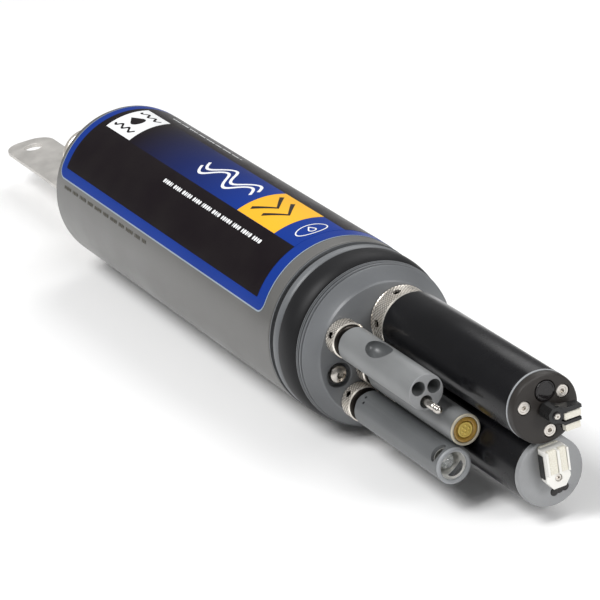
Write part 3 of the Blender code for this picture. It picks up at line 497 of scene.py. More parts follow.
def drill(piece, centre, radius, depth, sides, places, sharp=32.0):
    """Cuts upright round holes, each set in its place by a matrix."""
    bm = bmesh.new()
    for place in places:
        bmesh.ops.create_cone(
            bm, cap_ends=True, segments=sides, radius1=radius, radius2=radius, depth=depth, matrix=place
        )
    combine(piece, bm, centre, sharp=sharp)


def on_side(degrees, x, radius):
    """Place on the side of a round piece, facing outwards."""
    return Matrix.Rotation(math.radians(degrees - 90), 4, "X") @ Matrix.Translation((x, 0, radius))


def prism(name, outline, start, end, look, at, stands_for=(), edge=0.0):
    bm = bmesh.new()
    add_prism(bm, outline, start, end)
    piece = add_piece(name, bm, look, at, stands_for)
    if edge:
        soften(piece, edge)
    return piece


def knurled_ring(name, steel, rear, front, teeth, radius, depth, grip, at, node, dark=1.25):
    """Steel ring of a rear and a front profile, with a knurled grip between them; painted shade darkens it
    past dark below its radius.
    """
    profile = rear + [(x, radius) for x in knurl_steps(teeth, radius, *grip)] + front
    look = knurled_steel(steel, teeth, radius, *grip, dark)
    return lathe(name, profile, look, at, [node], "stainless_steel", sides=teeth * 4,
                 relief=knurl(teeth, depth, *grip), sharp=60)


def rounded_box(low_y, high_y, low_z, high_z, corner, steps=5):
    left, right = low_y + corner, high_y - corner
    bottom, top = low_z + corner, high_z - corner
    outline = []
    for y, z, start in ((right, top, 0), (left, top, 90), (left, bottom, 180), (right, bottom, 270)):
        outline += arc(y, z, corner, corner, start, start + 90, steps)
    return outline


def polar(radius, degrees):
    a = math.radians(degrees)
    return radius * math.cos(a), radius * math.sin(a)


def cut_socket(screw, radius, start, end, centre, turned=0):
    """Cuts a hexagon recess."""
    combine_prism(screw, [polar(radius, 60 * k + turned) for k in range(6)], start, end, centre)


def knurl(teeth, depth, start, end):
    """Relief of a diamond knurl between two places on a turned surface."""
    def relief(x, angle, radius):
        if not start < x < end:
            return radius
        across = teeth * angle / math.tau
        along = teeth * (x - start) / (math.tau * radius)
        ridges = [abs(2 * (t % 1.0) - 1) for t in (across + along, across - along)]
        return radius - depth * (1 - min(ridges))
    return relief


def knurl_steps(teeth, radius, start, end):
    """Places along X that catch each row of a knurl four times."""
    count = max(4, round((end - start) * teeth / (math.tau * radius) * 4))
    return [start + (end - start) * k / count for k in range(count + 1)]


# Housing tube and its label

LABEL_RADIUS = TUBE_RADIUS + 0.10
SHEET = 0.08
WRAP_PITCH = 1.6
WORD_GAP = 3.6
LABEL_NEAR_DEG = 157
LABEL_FAR_DEG = 20
BLOCK_REACH = (153.8, 189.3)


def add_wrapped(bm, loops, radius, thickness):
    """Adds a closed patch of film, from loops of (x, distance round the tube) points, wrapped on a radius.

    The distance is measured in millimetres from the tube's top, towards -Y. Inner loops are holes."""
    part = bmesh.new()
    edges = []
    for loop in loops:
        verts = [part.verts.new((x, s, 0.0)) for x, s in loop]
        edges += [part.edges.new(pair) for pair in zip(verts, verts[1:] + verts[:1])]
    bmesh.ops.triangle_fill(part, edges=edges, use_beauty=True, normal=(0, 0, 1))
    low = min(v.co.y for v in part.verts)
    high = max(v.co.y for v in part.verts)
    for k in range(math.ceil(low / WRAP_PITCH), math.floor(high / WRAP_PITCH) + 1):
        geometry = part.verts[:] + part.edges[:] + part.faces[:]
        line = (0, k * WRAP_PITCH, 0)
        bmesh.ops.bisect_plane(part, geom=geometry, plane_co=line, plane_no=(0, 1, 0), dist=1e-5)
    bmesh.ops.recalc_face_normals(part, faces=part.faces)
    if sum(f.normal.z for f in part.faces) < 0:
        bmesh.ops.reverse_faces(part, faces=part.faces)
    grown = bmesh.ops.extrude_face_region(part, geom=part.faces[:], use_keep_orig=True)
    for item in grown["geom"]:
        if isinstance(item, bmesh.types.BMVert):
            item.co.z = thickness
    for v in part.verts:
        a = math.pi / 2 + v.co.y / radius
        r = radius + v.co.z
        v.co = (v.co.x, r * math.cos(a), r * math.sin(a))
    mesh = bpy.data.meshes.new("part")
    part.to_mesh(mesh)
    part.free()
    bm.from_mesh(mesh)
    bpy.data.meshes.remove(mesh)


def film(name, patches, look, layer, stands_for=()):
    """Patches of printed film on the tube, each a list of loops; layer counts the sheets under them."""
    bm = bmesh.new()
    for loops in patches:
        add_wrapped(bm, loops, LABEL_RADIUS + layer * SHEET, SHEET * 0.8)
    return add_piece(name, bm, look, SONDE, stands_for, sharp=50.0)


def round_the_tube(degrees):
    """Distance round the tube of an angle, from the top towards -Y."""
    return math.radians(degrees - 90) * LABEL_RADIUS


def stroke(points, width):
    """Outline of a bent line of even width."""
    left, right = [], []
    for k, (x, s) in enumerate(points):
        before = points[max(k - 1, 0)]
        after = points[min(k + 1, len(points) - 1)]
        dx, ds = after[0] - before[0], after[1] - before[1]
        length = math.hypot(dx, ds)
        nx, ns = -ds / length * width / 2, dx / length * width / 2
        left.append((x + nx, s + ns))
        right.append((x - nx, s - ns))
    return left + right[::-1]


def wave(x, s, step, count, height, length, width):
    """Outline of a wavy line along the tube."""
    points = [(x + step * k, s + height * math.sin(math.tau * step * k / length)) for k in range(count)]
    return stroke(points, width)


def drop(x, s, size):
    """Outline of a water drop whose point is towards the rear."""
    return arc(x, s, size, size, -120, 120, 18) + [(x - size * 2.1, s)]


def dashes(start, end, s, height, lengths, gap):
    """A row of small bars that stands for a line of print, without being letters."""
    bars = []
    x = start
    for k in itertools.count():
        length = lengths[k % len(lengths)]
        if x + length > end:
            return bars
        bars.append([rounded_box(x, x + length, s - height / 2, s + height / 2, height * 0.3, 2)])
        x += length + gap * (WORD_GAP if k % 9 in (4, 8) else 1.0)


def make_tube():
    end = TUBE_END
    profile = [
        (0.0, 33.4), (0.0, 36.1), (0.15, 36.45), (0.45, 36.7), (0.9, TUBE_RADIUS), (end - 0.8, TUBE_RADIUS),
        (end - 0.3, 36.7), (end - 0.05, 36.45), (end, 36.2), (end, 33.4),
    ]
    lathe("tube_wall", profile, GREY_PVC, SONDE, ["housing_tube"], sides=192)


def make_label():
    low_x, high_x = reach_of("label")
    near, far = round_the_tube(LABEL_NEAR_DEG), round_the_tube(LABEL_FAR_DEG)
    film("label_margin", [[rounded_box(low_x, high_x, far, near, 5.0)]], MARGIN_PRINT, 0, ["label"])
    trim = 0.6
    border = rounded_box(low_x + trim, high_x - trim, far + trim, near - trim, 4.4)
    film("label_border", [[border]], BLUE_PRINT, 1)
    panel = rounded_box(low_x + 5.6, high_x - 7.6, far + 5.2, near - 5.2, 0.6, 2)
    film("label_panel", [[panel]], PANEL, 2)

    low, high = round_the_tube(STRIPE_LOW_DEG), round_the_tube(STRIPE_HIGH_DEG)
    middle = (low + high) / 2
    rear, front = BLOCK_REACH
    film("label_block", [[[(rear, low), (front, low), (front, high), (rear, high)]]], YELLOW_PRINT, 3)
    chevrons = [
        [stroke([(x - 3.5, low + 4.5), (x + 7.5, middle), (x - 3.5, high - 4.5)], 2.0)]
        for x in (162.5, 173.0)
    ]
    film("label_chevrons", chevrons, DARK_PRINT, 4)

    mark = [(11.5, low + 0.4), (36.0, low + 0.4), (40.0, high - 0.4), (14.0, high - 0.4)]
    waves = [
        wave(15.5 + side * 0.1, middle + side, 0.75, 26, 1.1, math.tau / 0.9, 1.3) for side in (-7.0, 7.0)
    ]
    film("label_mark", [[mark, drop(25.5, middle, 3.6), *waves]], WHITE_PRINT, 3)

    swell = [[wave(99, middle + offset, 1.5, 33, 4.2, 24, 1.4)] for offset in (-2.0, 2.0)]
    film("label_swell", swell, WHITE_PRINT, 3)
    ring_x, ring_s = 201.4, round_the_tube(90)
    ring = [oval(ring_x, ring_s, 4.9, 7.4), oval(ring_x, ring_s, 4.3, 6.8)]
    small_drop = [drop(ring_x + 0.9, ring_s, 1.9), drop(ring_x + 0.9, ring_s, 1.3)]
    film("label_ring", [ring, small_drop], WHITE_PRINT, 4)
    line = dashes(91, 190, round_the_tube(118.3), 2.1, (1.5, 1.1, 1.8, 1.3, 0.7, 1.6, 1.2), 0.55)
    film("label_line", line, WHITE_PRINT, 3)
    far_line = dashes(24, 98, round_the_tube(61), 0.9, (1.4, 0.9, 1.7, 1.1, 0.8), 0.5)
    film("label_far_line", far_line, WHITE_PRINT, 3)
    small = dashes(10, 101, round_the_tube(161.8), 1.7, (0.9, 0.6, 1.1, 0.7), 0.7)
    film("tube_small_line", small, GREY_PRINT, 0)


# Front bulkhead

# Place, bore and thread radius of each port.
PORTS = (
    (PROBE_A, 7.1, 9.3), (PROBE_B, 7.1, 9.3), (CONDUCTIVITY, 3.8, 5.4), (ION, 3.8, 5.4), (PH, 3.8, 5.4),
)


def make_bulkhead():
    """Turned plug whose edge steps through seal ridges, band seat, guard thread and cone to the face."""
    start = TUBE_END + 0.3
    profile = [
        (205.0, 0.0), (205.0, 32.9), (start, 32.9), (start, 36.3), (start + 0.25, 36.65), (start + 0.9, 36.7),
        (224.4, 36.55), (224.5, 33.9), (227.2, 33.9), (227.3, 36.3), (227.5, 36.55), (228.6, 36.5),
        (229.8, 36.2), (230.8, 35.6), (231.05, 35.2), (231.1, 33.4), (243.8, 33.4), (243.8, 32.6),
        (245.2, 32.6), (245.2, 34.8), (245.35, 35.05), (245.75, 35.05), (245.9, 34.1), (246.15, 34.1),
        (246.3, 34.95), (246.65, 34.95), (246.8, 33.5), (247.25, 33.5), (247.4, 34.7), (247.9, 34.65),
        (248.05, 33.5), (248.4, 33.5), (248.5, 34.1), (248.8, 34.05), (249.3, 33.3), (253.2, 29.4),
        (253.6, 29.1), (254.1, 28.95), (FACE_X - 0.1, 28.75), (FACE_X, 28.5), (FACE_X, 0.0),
    ]
    body = lathe("bulkhead", profile, COOL_PVC, SONDE, ["front_bulkhead"], sides=224)
    for spot, bore, thread in PORTS:
        port = [(206.0, 0.0), (206.0, bore), (247.6, bore)]
        port += recess(247.6, thread, FACE_X, 0.4, 0.1, thread + 0.5)[1:]
        combine_lathe(body, port, 64, spot)
    earth = axis_of("earth_screw")
    floor = FACE_X - 2.6
    pocket = [
        (floor - 8, 0.0), (floor - 8, 2.2), (floor, 2.2), (floor, 5.1), (FACE_X - 0.3, 5.3),
        (FACE_X + 0.2, 5.8), (FACE_X + 2, 5.8), (FACE_X + 2, 0.0),
    ]
    combine_lathe(body, pocket, 64, earth, sharp=28.0)


def make_bulkhead_rings():
    ring = oval(225.85, 34.95, 0.95, 0.95, 14)
    lathe("face_o_ring", ring, RUBBER, SONDE, ["face_seal"], sides=192, sharp=60)
    band = [
        (231.35, 33.6), (231.35, 35.7), (231.6, 36.2), (232.1, 36.5), (233.0, 36.62), (236.0, 36.6),
        (238.5, 36.35), (240.4, 35.8), (241.8, 35.1), (242.8, 34.3), (243.3, 33.8), (243.3, 33.6),
    ]
    lathe("cup_band", band, BAND_RUBBER, SONDE, ["rubber_band"], sides=192, sharp=50)


def make_earth_screw():
    """Pan-head screw with a domed head and a hexagon recess."""
    start, end = reach_of("earth_screw")
    head = 3.9
    seat = end - 3.0
    dome = arc(seat + 1.0, 0.0, 2.0, head, 90, 9, 9)
    profile = [(start, 0.0), (start, 1.9), (seat, 1.9), (seat, head)] + dome + [(end, 0.0)]
    centre = axis_of("earth_screw")
    screw = lathe("earth_screw_head", profile, STEEL, (centre, "sonde"), ["earth_screw"], sides=64)
    cut_socket(screw, 1.55, end - 1.8, end + 2, centre)


# Rear end

def make_rear_cap():
    face, _ = reach_of("rear_cap")
    profile = [
        (face, 8.4), (face, 12.4), (face + 0.4, 12.9), (face + 0.4, 31.5), (face, 32.0), (face, 34.7),
        (face + 0.3, 35.3), (face + 0.9, 35.6), (-0.3, 35.6), (-0.3, 32.9), (14.0, 32.9), (14.0, 27.0),
        (4.0, 27.0), (4.0, 8.4),
    ]
    cap = lathe("end_cap", profile, RIM_PVC, SONDE, ["rear_cap"], sides=160)
    for k in (1, 2):
        combine_lathe(cap, rod(face - 2, face + 7, 1.9), 32, axis_of(f"bail_screw_{k}"))


def make_bail():
    """Flat blasted tab with a bent foot, round tip corners, a hole and softened edges."""
    low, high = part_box("bail")
    tip = (low.x - ORIGIN.x) / MM
    foot_x = (high.x - ORIGIN.x) / MM
    top = (high.z - ORIGIN.z) / MM
    foot_z = (low.z - ORIGIN.z) / MM
    half = (high.y - low.y) / MM / 2
    thick = 2.0
    bend = 3.5
    inside = bend - thick
    outer = arc(foot_x - bend, top - bend, bend, bend, 90, 0, 8)
    inner = arc(foot_x - bend, top - bend, inside, inside, 0, 90, 6)
    side = [(tip, top)] + outer + [(foot_x, foot_z), (foot_x - thick, foot_z)] + inner + [(tip, top - thick)]
    bm = bmesh.new()
    add_extruded(bm, [(x, -half, z) for x, z in side], (0, 2 * half, 0))
    corners = [
        e for e in bm.edges
        if all(abs(v.co.x - tip) < 1e-3 for v in e.verts) and abs(e.verts[0].co.y - e.verts[1].co.y) < 1e-3
    ]
    bmesh.ops.bevel(bm, geom=corners, offset=9.5, segments=16, profile=0.5, affect="EDGES")
    bail = add_piece("bail_tab", bm, BLASTED_STEEL, SONDE, ["bail"])
    hole = (Vector(frame["record"]["mounts"][0]["pos_m"]) - ORIGIN) / MM
    drill(bail, AXIS, 4.4, 8.0, 64, [Matrix.Translation(hole)])
    for k in (1, 2):
        combine_lathe(bail, rod(foot_x - 4, foot_x + 2, 1.9), 32, axis_of(f"bail_screw_{k}"))
    soften(bail, 0.28)


def make_bail_screws():
    for k in (1, 2):
        start, end = reach_of(f"bail_screw_{k}")
        centre = axis_of(f"bail_screw_{k}")
        dome = arc(start + 2.3, 0.0, 2.3, 3.1, 171, 90, 9)
        profile = [(start, 0.0)] + dome + [(start + 2.3, 1.6), (end, 1.6), (end, 0.0)]
        name = f"bail_screw_head_{k}"
        screw = lathe(name, profile, STEEL, (centre, "sonde"), [f"bail_screw_{k}"], sides=48)
        cut_socket(screw, 1.4, start - 1, start + 1.4, centre)


def make_connector():
    cap_face, _ = reach_of("rear_cap")
    flange = cap_face - 0.3
    shell = [
        (-31.0, 7.0), (-31.0, 8.2), (-30.7, 8.5), (-30.2, 8.5), (-29.8, 7.9), (-29.4, 8.5), (-28.9, 8.5),
        (-28.5, 7.9), (-28.1, 8.5), (-27.6, 8.5), (-27.2, 7.9), (-26.8, 8.5), (-9.6, 8.5), (-9.5, 10.9),
        (-9.0, 11.4), (flange - 0.4, 11.4), (flange, 11.0), (flange, 8.0), (12.0, 8.0), (12.0, 6.0),
        (-10.0, 6.0), (-10.0, 7.0),
    ]
    lathe("connector_body", shell, STEEL, SONDE, ["connector_shell"])
    start, end = reach_of("locking_sleeve")
    low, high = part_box("locking_sleeve")
    outside = (high.z - low.z) / MM / 2
    grip_start, grip_end = start + 4.0, end - 7.0
    behind = [
        (start, 6.0), (start, outside - 1.0), (start + 0.3, outside - 0.4), (start + 0.9, outside - 0.1),
        (grip_start - 0.6, outside - 0.1), (grip_start - 0.3, outside - 0.6),
    ]
    ahead = [
        (grip_end + 0.3, outside - 0.6), (grip_end + 0.6, outside - 0.2), (end - 0.8, outside - 0.2),
        (end - 0.3, outside - 0.5), (end, outside - 1.1), (end, 8.9), (start + 3.3, 8.9), (start + 3.3, 6.0),
    ]
    knurled_ring("knurled_sleeve", "sleeve_steel", behind, ahead, 72, outside, 0.35, (grip_start, grip_end),
                 (AXIS, "sleeve"), "locking_sleeve")
    rear, _ = reach_of("connector_cap")
    head = start + 3.6
    plug = [
        (rear, 0.0), (rear, 4.2), (rear + 0.3, 4.9), (rear + 0.9, 5.3), (rear + 2.0, 5.5), (rear + 4.5, 5.5),
        (rear + 4.9, 5.1), (rear + 5.5, 5.1), (rear + 5.9, 5.5), (head, 5.5), (head, 8.3), (-31.3, 8.3),
        (-31.3, 6.7), (-15.0, 6.7), (-15.0, 5.5), (-29.0, 5.5), (-29.0, 0.0),
    ]
    lathe("pressure_cap_plug", plug, BLACK_ACETAL, (AXIS, "pressure_cap"), ["connector_cap"])


# Nuts

# Bore, spigot radius, nose length, knurl depth, depth past which painted shade darkens it, and sides of the
# CAD collar.
OPTICAL_NUT = (7.1, 9.0, 0.9, 0.42, 1.25, 24)
SLIM_NUT = (3.8, 5.1, 1.1, 0.30, 0.5, 16)


def make_nut(label, body, teeth, holes, hole_radius, first_hole):
    """Knurled ring with spanner holes, a chamfered nose and a threaded spigot in the port."""
    bore, spigot, nose_length, depth, dark, cad_sides = OPTICAL_NUT if label in "ab" else SLIM_NUT
    node = f"nut_{label}"
    centre = axis_of(node)
    start, end = reach_of(node)
    low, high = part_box(node)
    collar = (high.y - low.y) / MM / 2 / math.cos(math.pi / cad_sides)
    seat = FACE_X + 0.3
    nose = end - nose_length
    behind = [(start, bore), (start, spigot - 0.4)]
    for k in range(int(seat - 0.6 - start - 0.4)):
        x = start + 0.4 + k
        root = spigot - 0.45
        behind += [(x + 0.15, spigot), (x + 0.45, spigot), (x + 0.75, root), (x + 0.9, root)]
    behind += [(seat, spigot - 0.3), (seat, collar - 0.45), (seat + 0.2, collar - 0.1)]
    ahead = [
        (nose + 0.2, collar - 0.25), (nose + 0.45, collar - 0.6), (end - 0.2, collar - 0.9),
        (end, collar - 1.1), (end, bore),
    ]
    nut = knurled_ring(f"knurled_nut_{label}", f"nut_steel_{label}", behind, ahead, teeth, collar, depth,
                       (seat + 0.45, nose - 0.1), (centre, body), node, dark)
    places = [on_side(360 * k / holes + first_hole, (seat + nose) / 2, collar) for k in range(holes)]
    drill(nut, centre, hole_radius, 5.0, 28, places, sharp=60.0)


# Optical probes

OPTICAL_RADIUS = 14.1


def make_optical_body(label, at):
    start, end = reach_of(f"optical_body_{label}")
    shoulder = reach_of(f"nut_{label}")[1] + 0.3
    radius = OPTICAL_RADIUS
    profile = [
        (start, 0.0), (start, 6.4), (start + 0.4, 6.8), (shoulder - 0.2, 6.8), (shoulder, 12.6),
        (shoulder + 0.15, 13.3), (shoulder + 0.5, 13.8), (shoulder + 1.0, 14.03), (shoulder + 1.6, radius),
        (end - 0.5, radius), (end - 0.15, radius - 0.12), (end, radius - 0.4), (end, 12.2), (272.0, 12.2),
        (272.0, 0.0),
    ]
    lathe(f"optical_tube_{label}", profile, BLACK_ACETAL, at, [f"optical_body_{label}"], sides=160)


def make_end_a():
    """Dark end plate with three recessed socket screws and the round window."""
    low, high = reach_of("end_gasket_a")
    gasket = [(low, 12.2), (low, 14.0), (low + 0.2, 14.15), (high - 0.2, 14.15), (high, 14.0), (high, 12.2)]
    lathe("end_gasket", gasket, PALE_RIM, OPTICAL_A, ["end_gasket_a"], sides=128)
    start, face = reach_of("end_plate_a")
    plate_profile = [
        (start, 1.8), (start, 13.8), (start + 0.3, 14.1), (face - 0.9, 14.1), (face - 0.3, 13.85),
        (face - 0.05, 13.4), (face, 13.0), (face, 1.8),
    ]
    plate = lathe("end_plate", plate_profile, PLATE_ACETAL, OPTICAL_A, ["end_plate_a"], sides=128)
    screws = [axis_of(f"plate_screw_{k}") for k in (1, 2, 3)]
    for k, centre in enumerate(screws):
        hole = [(start - 2, 0.0), (start - 2, 1.5), (face - 2.2, 1.5)]
        hole += recess(face - 2.2, 2.8, face, 0.25, 0.1, 3.05)[1:]
        combine_lathe(plate, hole, 48, centre)
        name = f"plate_screw_{k + 1}"
        screw_start, screw_end = reach_of(name)
        head = 2.62
        profile = [
            (screw_start, 0.0), (screw_start, 1.2), (screw_end - 1.7, 1.2), (screw_end - 1.7, head),
            (screw_end - 0.2, head), (screw_end, head - 0.22), (screw_end, 1.75), (screw_end - 0.12, 1.6),
            (screw_end - 0.12, 0.0),
        ]
        screw = lathe(f"socket_{name}", profile, STEEL, (centre, OPTICAL_A[1]), [name], sides=64)
        cut_socket(screw, 1.0, screw_end - 1.4, screw_end + 1, centre, 20)
    window = axis_of("window_a")
    combine_lathe(plate, recess(face - 2.6, 4.4, face, 0.2, 0.1, 4.65), 64, window)
    glass = [
        (face - 2.3, 0.0), (face - 2.3, 4.15), (face - 0.15, 4.15), (face + 0.12, 4.0), (face + 0.2, 3.6),
        (face + 0.06, 3.4), (face + 0.06, 0.0),
    ]
    lathe("round_window", glass, DARK_GLASS, (window, OPTICAL_A[1]), ["window_a"], sides=96)


ARM_OUTLINE = (
    (0.0, 3.0), (5.2, 1.3), (11.4, 0.5), (11.4, -9.1), (4.6, -9.1), (3.2, -5.2), (-1.5, -3.2), (-2.6, 0.0),
)


def make_wiper_a():
    """Dark arm with a flange and a rib that hold two foam bars, on a faceted hub with a bright set screw."""
    face = reach_of("end_plate_a")[1]
    front = reach_of("wiper_screw_a")[1]
    hub_x = face + 0.7
    plate = prism(
        "wiper_arm", ARM_OUTLINE, hub_x + 1.4, hub_x + 3.2, ARM_NYLON, WIPER_A,
        ["wiper_arm_a", "wiper_shaft_a"],
    )
    additions = (
        ([polar(3.4, 45 * k + 22.5) for k in range(8)], hub_x, front - 1.1),
        ([(1.0, 3.3), (5.2, 1.3), (11.6, 0.6), (11.6, -0.75), (3.6, -0.75), (2.6, -2.8), (0.0, -3.0)],
         hub_x + 1.6, hub_x + 6.2),
        ([(1.0, -2.4), (3.8, -4.3), (10.9, -4.3), (10.9, -5.6), (3.8, -5.6), (0.0, -3.2)],
         hub_x + 1.6, hub_x + 6.3),
    )
    for outline, start, end in additions:
        combine_prism(plate, outline, start, end, PROBE_A, "UNION")
    combine_lathe(plate, rod(hub_x + 6.0, front + 2, 1.75), 32, PROBE_A)
    soften(plate, 0.22)
    collar = [
        (front - 2.2, 1.0), (front - 2.2, 1.7), (front - 0.9, 1.7), (front - 0.65, 1.5), (front - 0.65, 1.0),
    ]
    lathe("wiper_bush", collar, DARK_GLASS, WIPER_A, slot="dark_grey_plastic", sides=48)
    socket = [
        (front - 2.4, 0.0), (front - 2.4, 0.9), (front - 0.35, 1.25), (front - 0.1, 1.05), (front, 0.7),
        (front, 0.4), (front - 0.7, 0.35), (front - 0.7, 0.0),
    ]
    lathe("wiper_set_screw", socket, STEEL, WIPER_A, ["wiper_screw_a"], sides=32)
    for k, (low, high, reach) in enumerate(((-8.7, -5.85, 10.5), (-4.05, -1.15, 11.3))):
        outline = rounded_box(3.9, reach, low, high, 0.5, 3)
        bar = foam_bar(f"foam_bar_{k + 1}", outline, hub_x + 3.3, hub_x + 6.0, WIPER_A,
                       [f"wiper_foam_a_{k + 1}"])


def foam_bar(name, outline, start, end, at, stands_for):
    """Straight bar or pad of foam with well rounded edges."""
    bm = bmesh.new()
    add_prism(bm, outline, start, end)
    piece = add_piece(name, bm, FOAM, at, stands_for)
    soften(piece, 0.45, 3)
    return piece


def make_end_b():
    start, face = reach_of("end_plate_b")
    profile = [
        (start, 1.8), (start, 13.9), (start + 0.2, 14.1), (face - 0.7, 14.1), (face - 0.25, 13.95),
        (face, 13.6), (face, 1.8),
    ]
    plate = lathe("pale_end_plate", profile, PALE_PVC, OPTICAL_B, ["end_plate_b"], sides=128)
    y, z = PROBE_B
    spots = [(y + 0.4, z - 8.4), (y + 2.8, z - 8.3), (y + 5.1, z - 7.8)]
    radii = (1.75, 1.45, 1.7)
    for spot, radius in zip(spots, radii):
        combine_lathe(plate, rod(face - 1.8, face + 2, radius), 40, spot)
    lens = None
    for spot, radius in zip(spots, radii):
        inside = radius - 0.05
        dome = [(face - 1.7, 0.0), (face - 1.7, inside), (face - 0.15, inside)]
        dome += arc(face - 0.15, 0.0, 0.45, inside, 75, 15, 4) + [(face + 0.3, 0.0)]
        if lens is None:
            lens = lathe("lens_row", dome, DARK_GLASS, (spot, OPTICAL_B[1]), ["lens_b"], sides=40)
        else:
            combine_lathe(lens, dome, 40, spot, "UNION")


def make_wiper_b():
    """White wiper block: a house-shaped plate with three ribs, foam strips, a foam pad and a set screw."""
    face = reach_of("end_plate_b")[1]
    back = face + 0.4
    top = back + 5.6
    house = [
        (-5.2, 12.6), (-5.2, -0.6), (-2.7, -4.1), (2.7, -4.1), (5.2, -0.6), (5.2, 0.8), (4.4, 1.5),
        (4.4, 12.6),
    ]
    block = prism(
        "wiper_block", house, back + 1.6, top, WHITE_PLASTIC, WIPER_B,
        ["wiper_arm_b", "wiper_shaft_b"],
    )
    for low, high in ((-5.2, -4.3), (-0.55, 0.55), (3.6, 4.4)):
        rib = [(low, 12.4), (low, 2.6), (high, 2.6), (high, 12.4)]
        combine_prism(block, rib, top - 0.5, top + 2.3, PROBE_B, "UNION")
    combine_lathe(block, rod(top - 2.2, top + 3, 1.55), 32, PROBE_B)
    soften(block, 0.25)
    socket = [
        (top - 2.1, 0.0), (top - 2.1, 1.4), (top - 0.7, 1.4), (top - 0.45, 1.2), (top - 0.45, 0.65),
        (top - 1.2, 0.6), (top - 1.2, 0.0),
    ]
    lathe("wiper_block_screw", socket, STEEL, WIPER_B, ["wiper_screw_b"], sides=32)
    strips = ((-4.2, -0.65), (0.65, 3.5))
    for k, (low, high) in enumerate(strips):
        outline = rounded_box(low, high, 2.9, 12.9, 0.4, 3)
        strip = foam_bar(f"foam_strip_{k + 1}", outline, top + 0.05, top + 1.9, WIPER_B, [])
    outline = rounded_box(-4.6, 4.0, 1.6, 12.8, 0.8, 3)
    pad = foam_bar("foam_pad", outline, back, back + 1.5, WIPER_B, ["wiper_foam_b"])
    clip = [(-5.75, 10.5), (-5.75, 0.8), (-5.35, 0.8), (-5.35, 10.5)]
    prism("wiper_clip", clip, back + 1.8, top - 0.6, ARM_NYLON, WIPER_B, edge=0.1)


# Slim probes

SLIM_RADIUS = 7.4
ION_RADIUS = 6.4


def slim_profile(label, radius):
    """Side of a slim probe: stem, narrow neck in front of the nut, chamfer and plain body."""
    start, face = reach_of(f"{label}_body")
    shoulder = reach_of(f"nut_{label}")[1] + 0.3
    chest = shoulder + 3.0
    return [
        (start, 0.0), (start, 3.2), (start + 0.3, 3.5), (shoulder, 3.5), (shoulder, 5.1),
        (shoulder + 0.3, 5.4), (chest - 0.2, 5.4), (chest, radius - 0.9), (chest + 0.15, radius - 0.5),
        (chest + 0.6, radius), (face - 0.3, radius), (face - 0.08, radius - 0.08), (face, radius - 0.3),
    ]


def make_conductivity():
    _, face = reach_of("conductivity_body")
    profile = slim_profile("conductivity", SLIM_RADIUS) + [(face, 0.0)]
    probe = lathe("conductivity_cell", profile, PROBE_PVC, CELL, ["conductivity_body"], sides=128)
    y, z = CONDUCTIVITY
    for angle in (21.0, 141.0):
        dy, dz = polar(3.9, angle)
        combine_lathe(probe, recess(294.0, 2.9, face, 0.12, 0.1, 3.05), 56, (y + dy, z + dz))
    pin = axis_of("thermistor_pin")
    combine_lathe(probe, recess(310.0, 2.6, face, 0.15, 0.1, 2.8), 56, pin)
    bm = bmesh.new()
    made = bmesh.ops.create_uvsphere(bm, u_segments=64, v_segments=32, radius=1.0)
    shape = Matrix.Rotation(math.radians(9), 4, "X") @ Matrix.Translation((290.2, 0, 6.7))
    shape = shape @ Matrix.Rotation(math.radians(-9), 4, "Y") @ Matrix.Diagonal((8.2, 4.7, 4.5, 1.0))
    bmesh.ops.transform(bm, matrix=shape, verts=made["verts"])
    combine(probe, bm, CONDUCTIVITY, sharp=34.0)
    probe.data.materials.append(PALE_PVC)
    probe.data.materials.append(DARK_PVC)
    for part in probe.data.polygons:
        out = math.hypot(part.center.y, part.center.z) / MM
        if part.center.x / MM > face - 0.2:
            part.material_index = 1
        elif 281.0 < part.center.x / MM < 299.0 and out < 7.1:
            part.material_index = 2
    start, tip = reach_of("thermistor_pin")
    profile = [
        (start, 0.0), (start, 1.5), (tip - 5.0, 1.5), (tip - 4.7, 1.42), (tip - 4.4, 1.15), (tip - 3.6, 1.12),
        (tip - 3.35, 1.4), (tip - 2.9, 1.62), (tip - 2.4, 1.5), (tip - 2.1, 1.25), (tip - 1.8, 1.5),
        (tip - 1.2, 1.6), (tip - 0.6, 1.35), (tip - 0.2, 0.85), (tip, 0.35), (tip, 0.0),
    ]
    lathe("temperature_pin", profile, STEEL, (pin, CELL[1]), ["thermistor_pin"], sides=48, sharp=50)


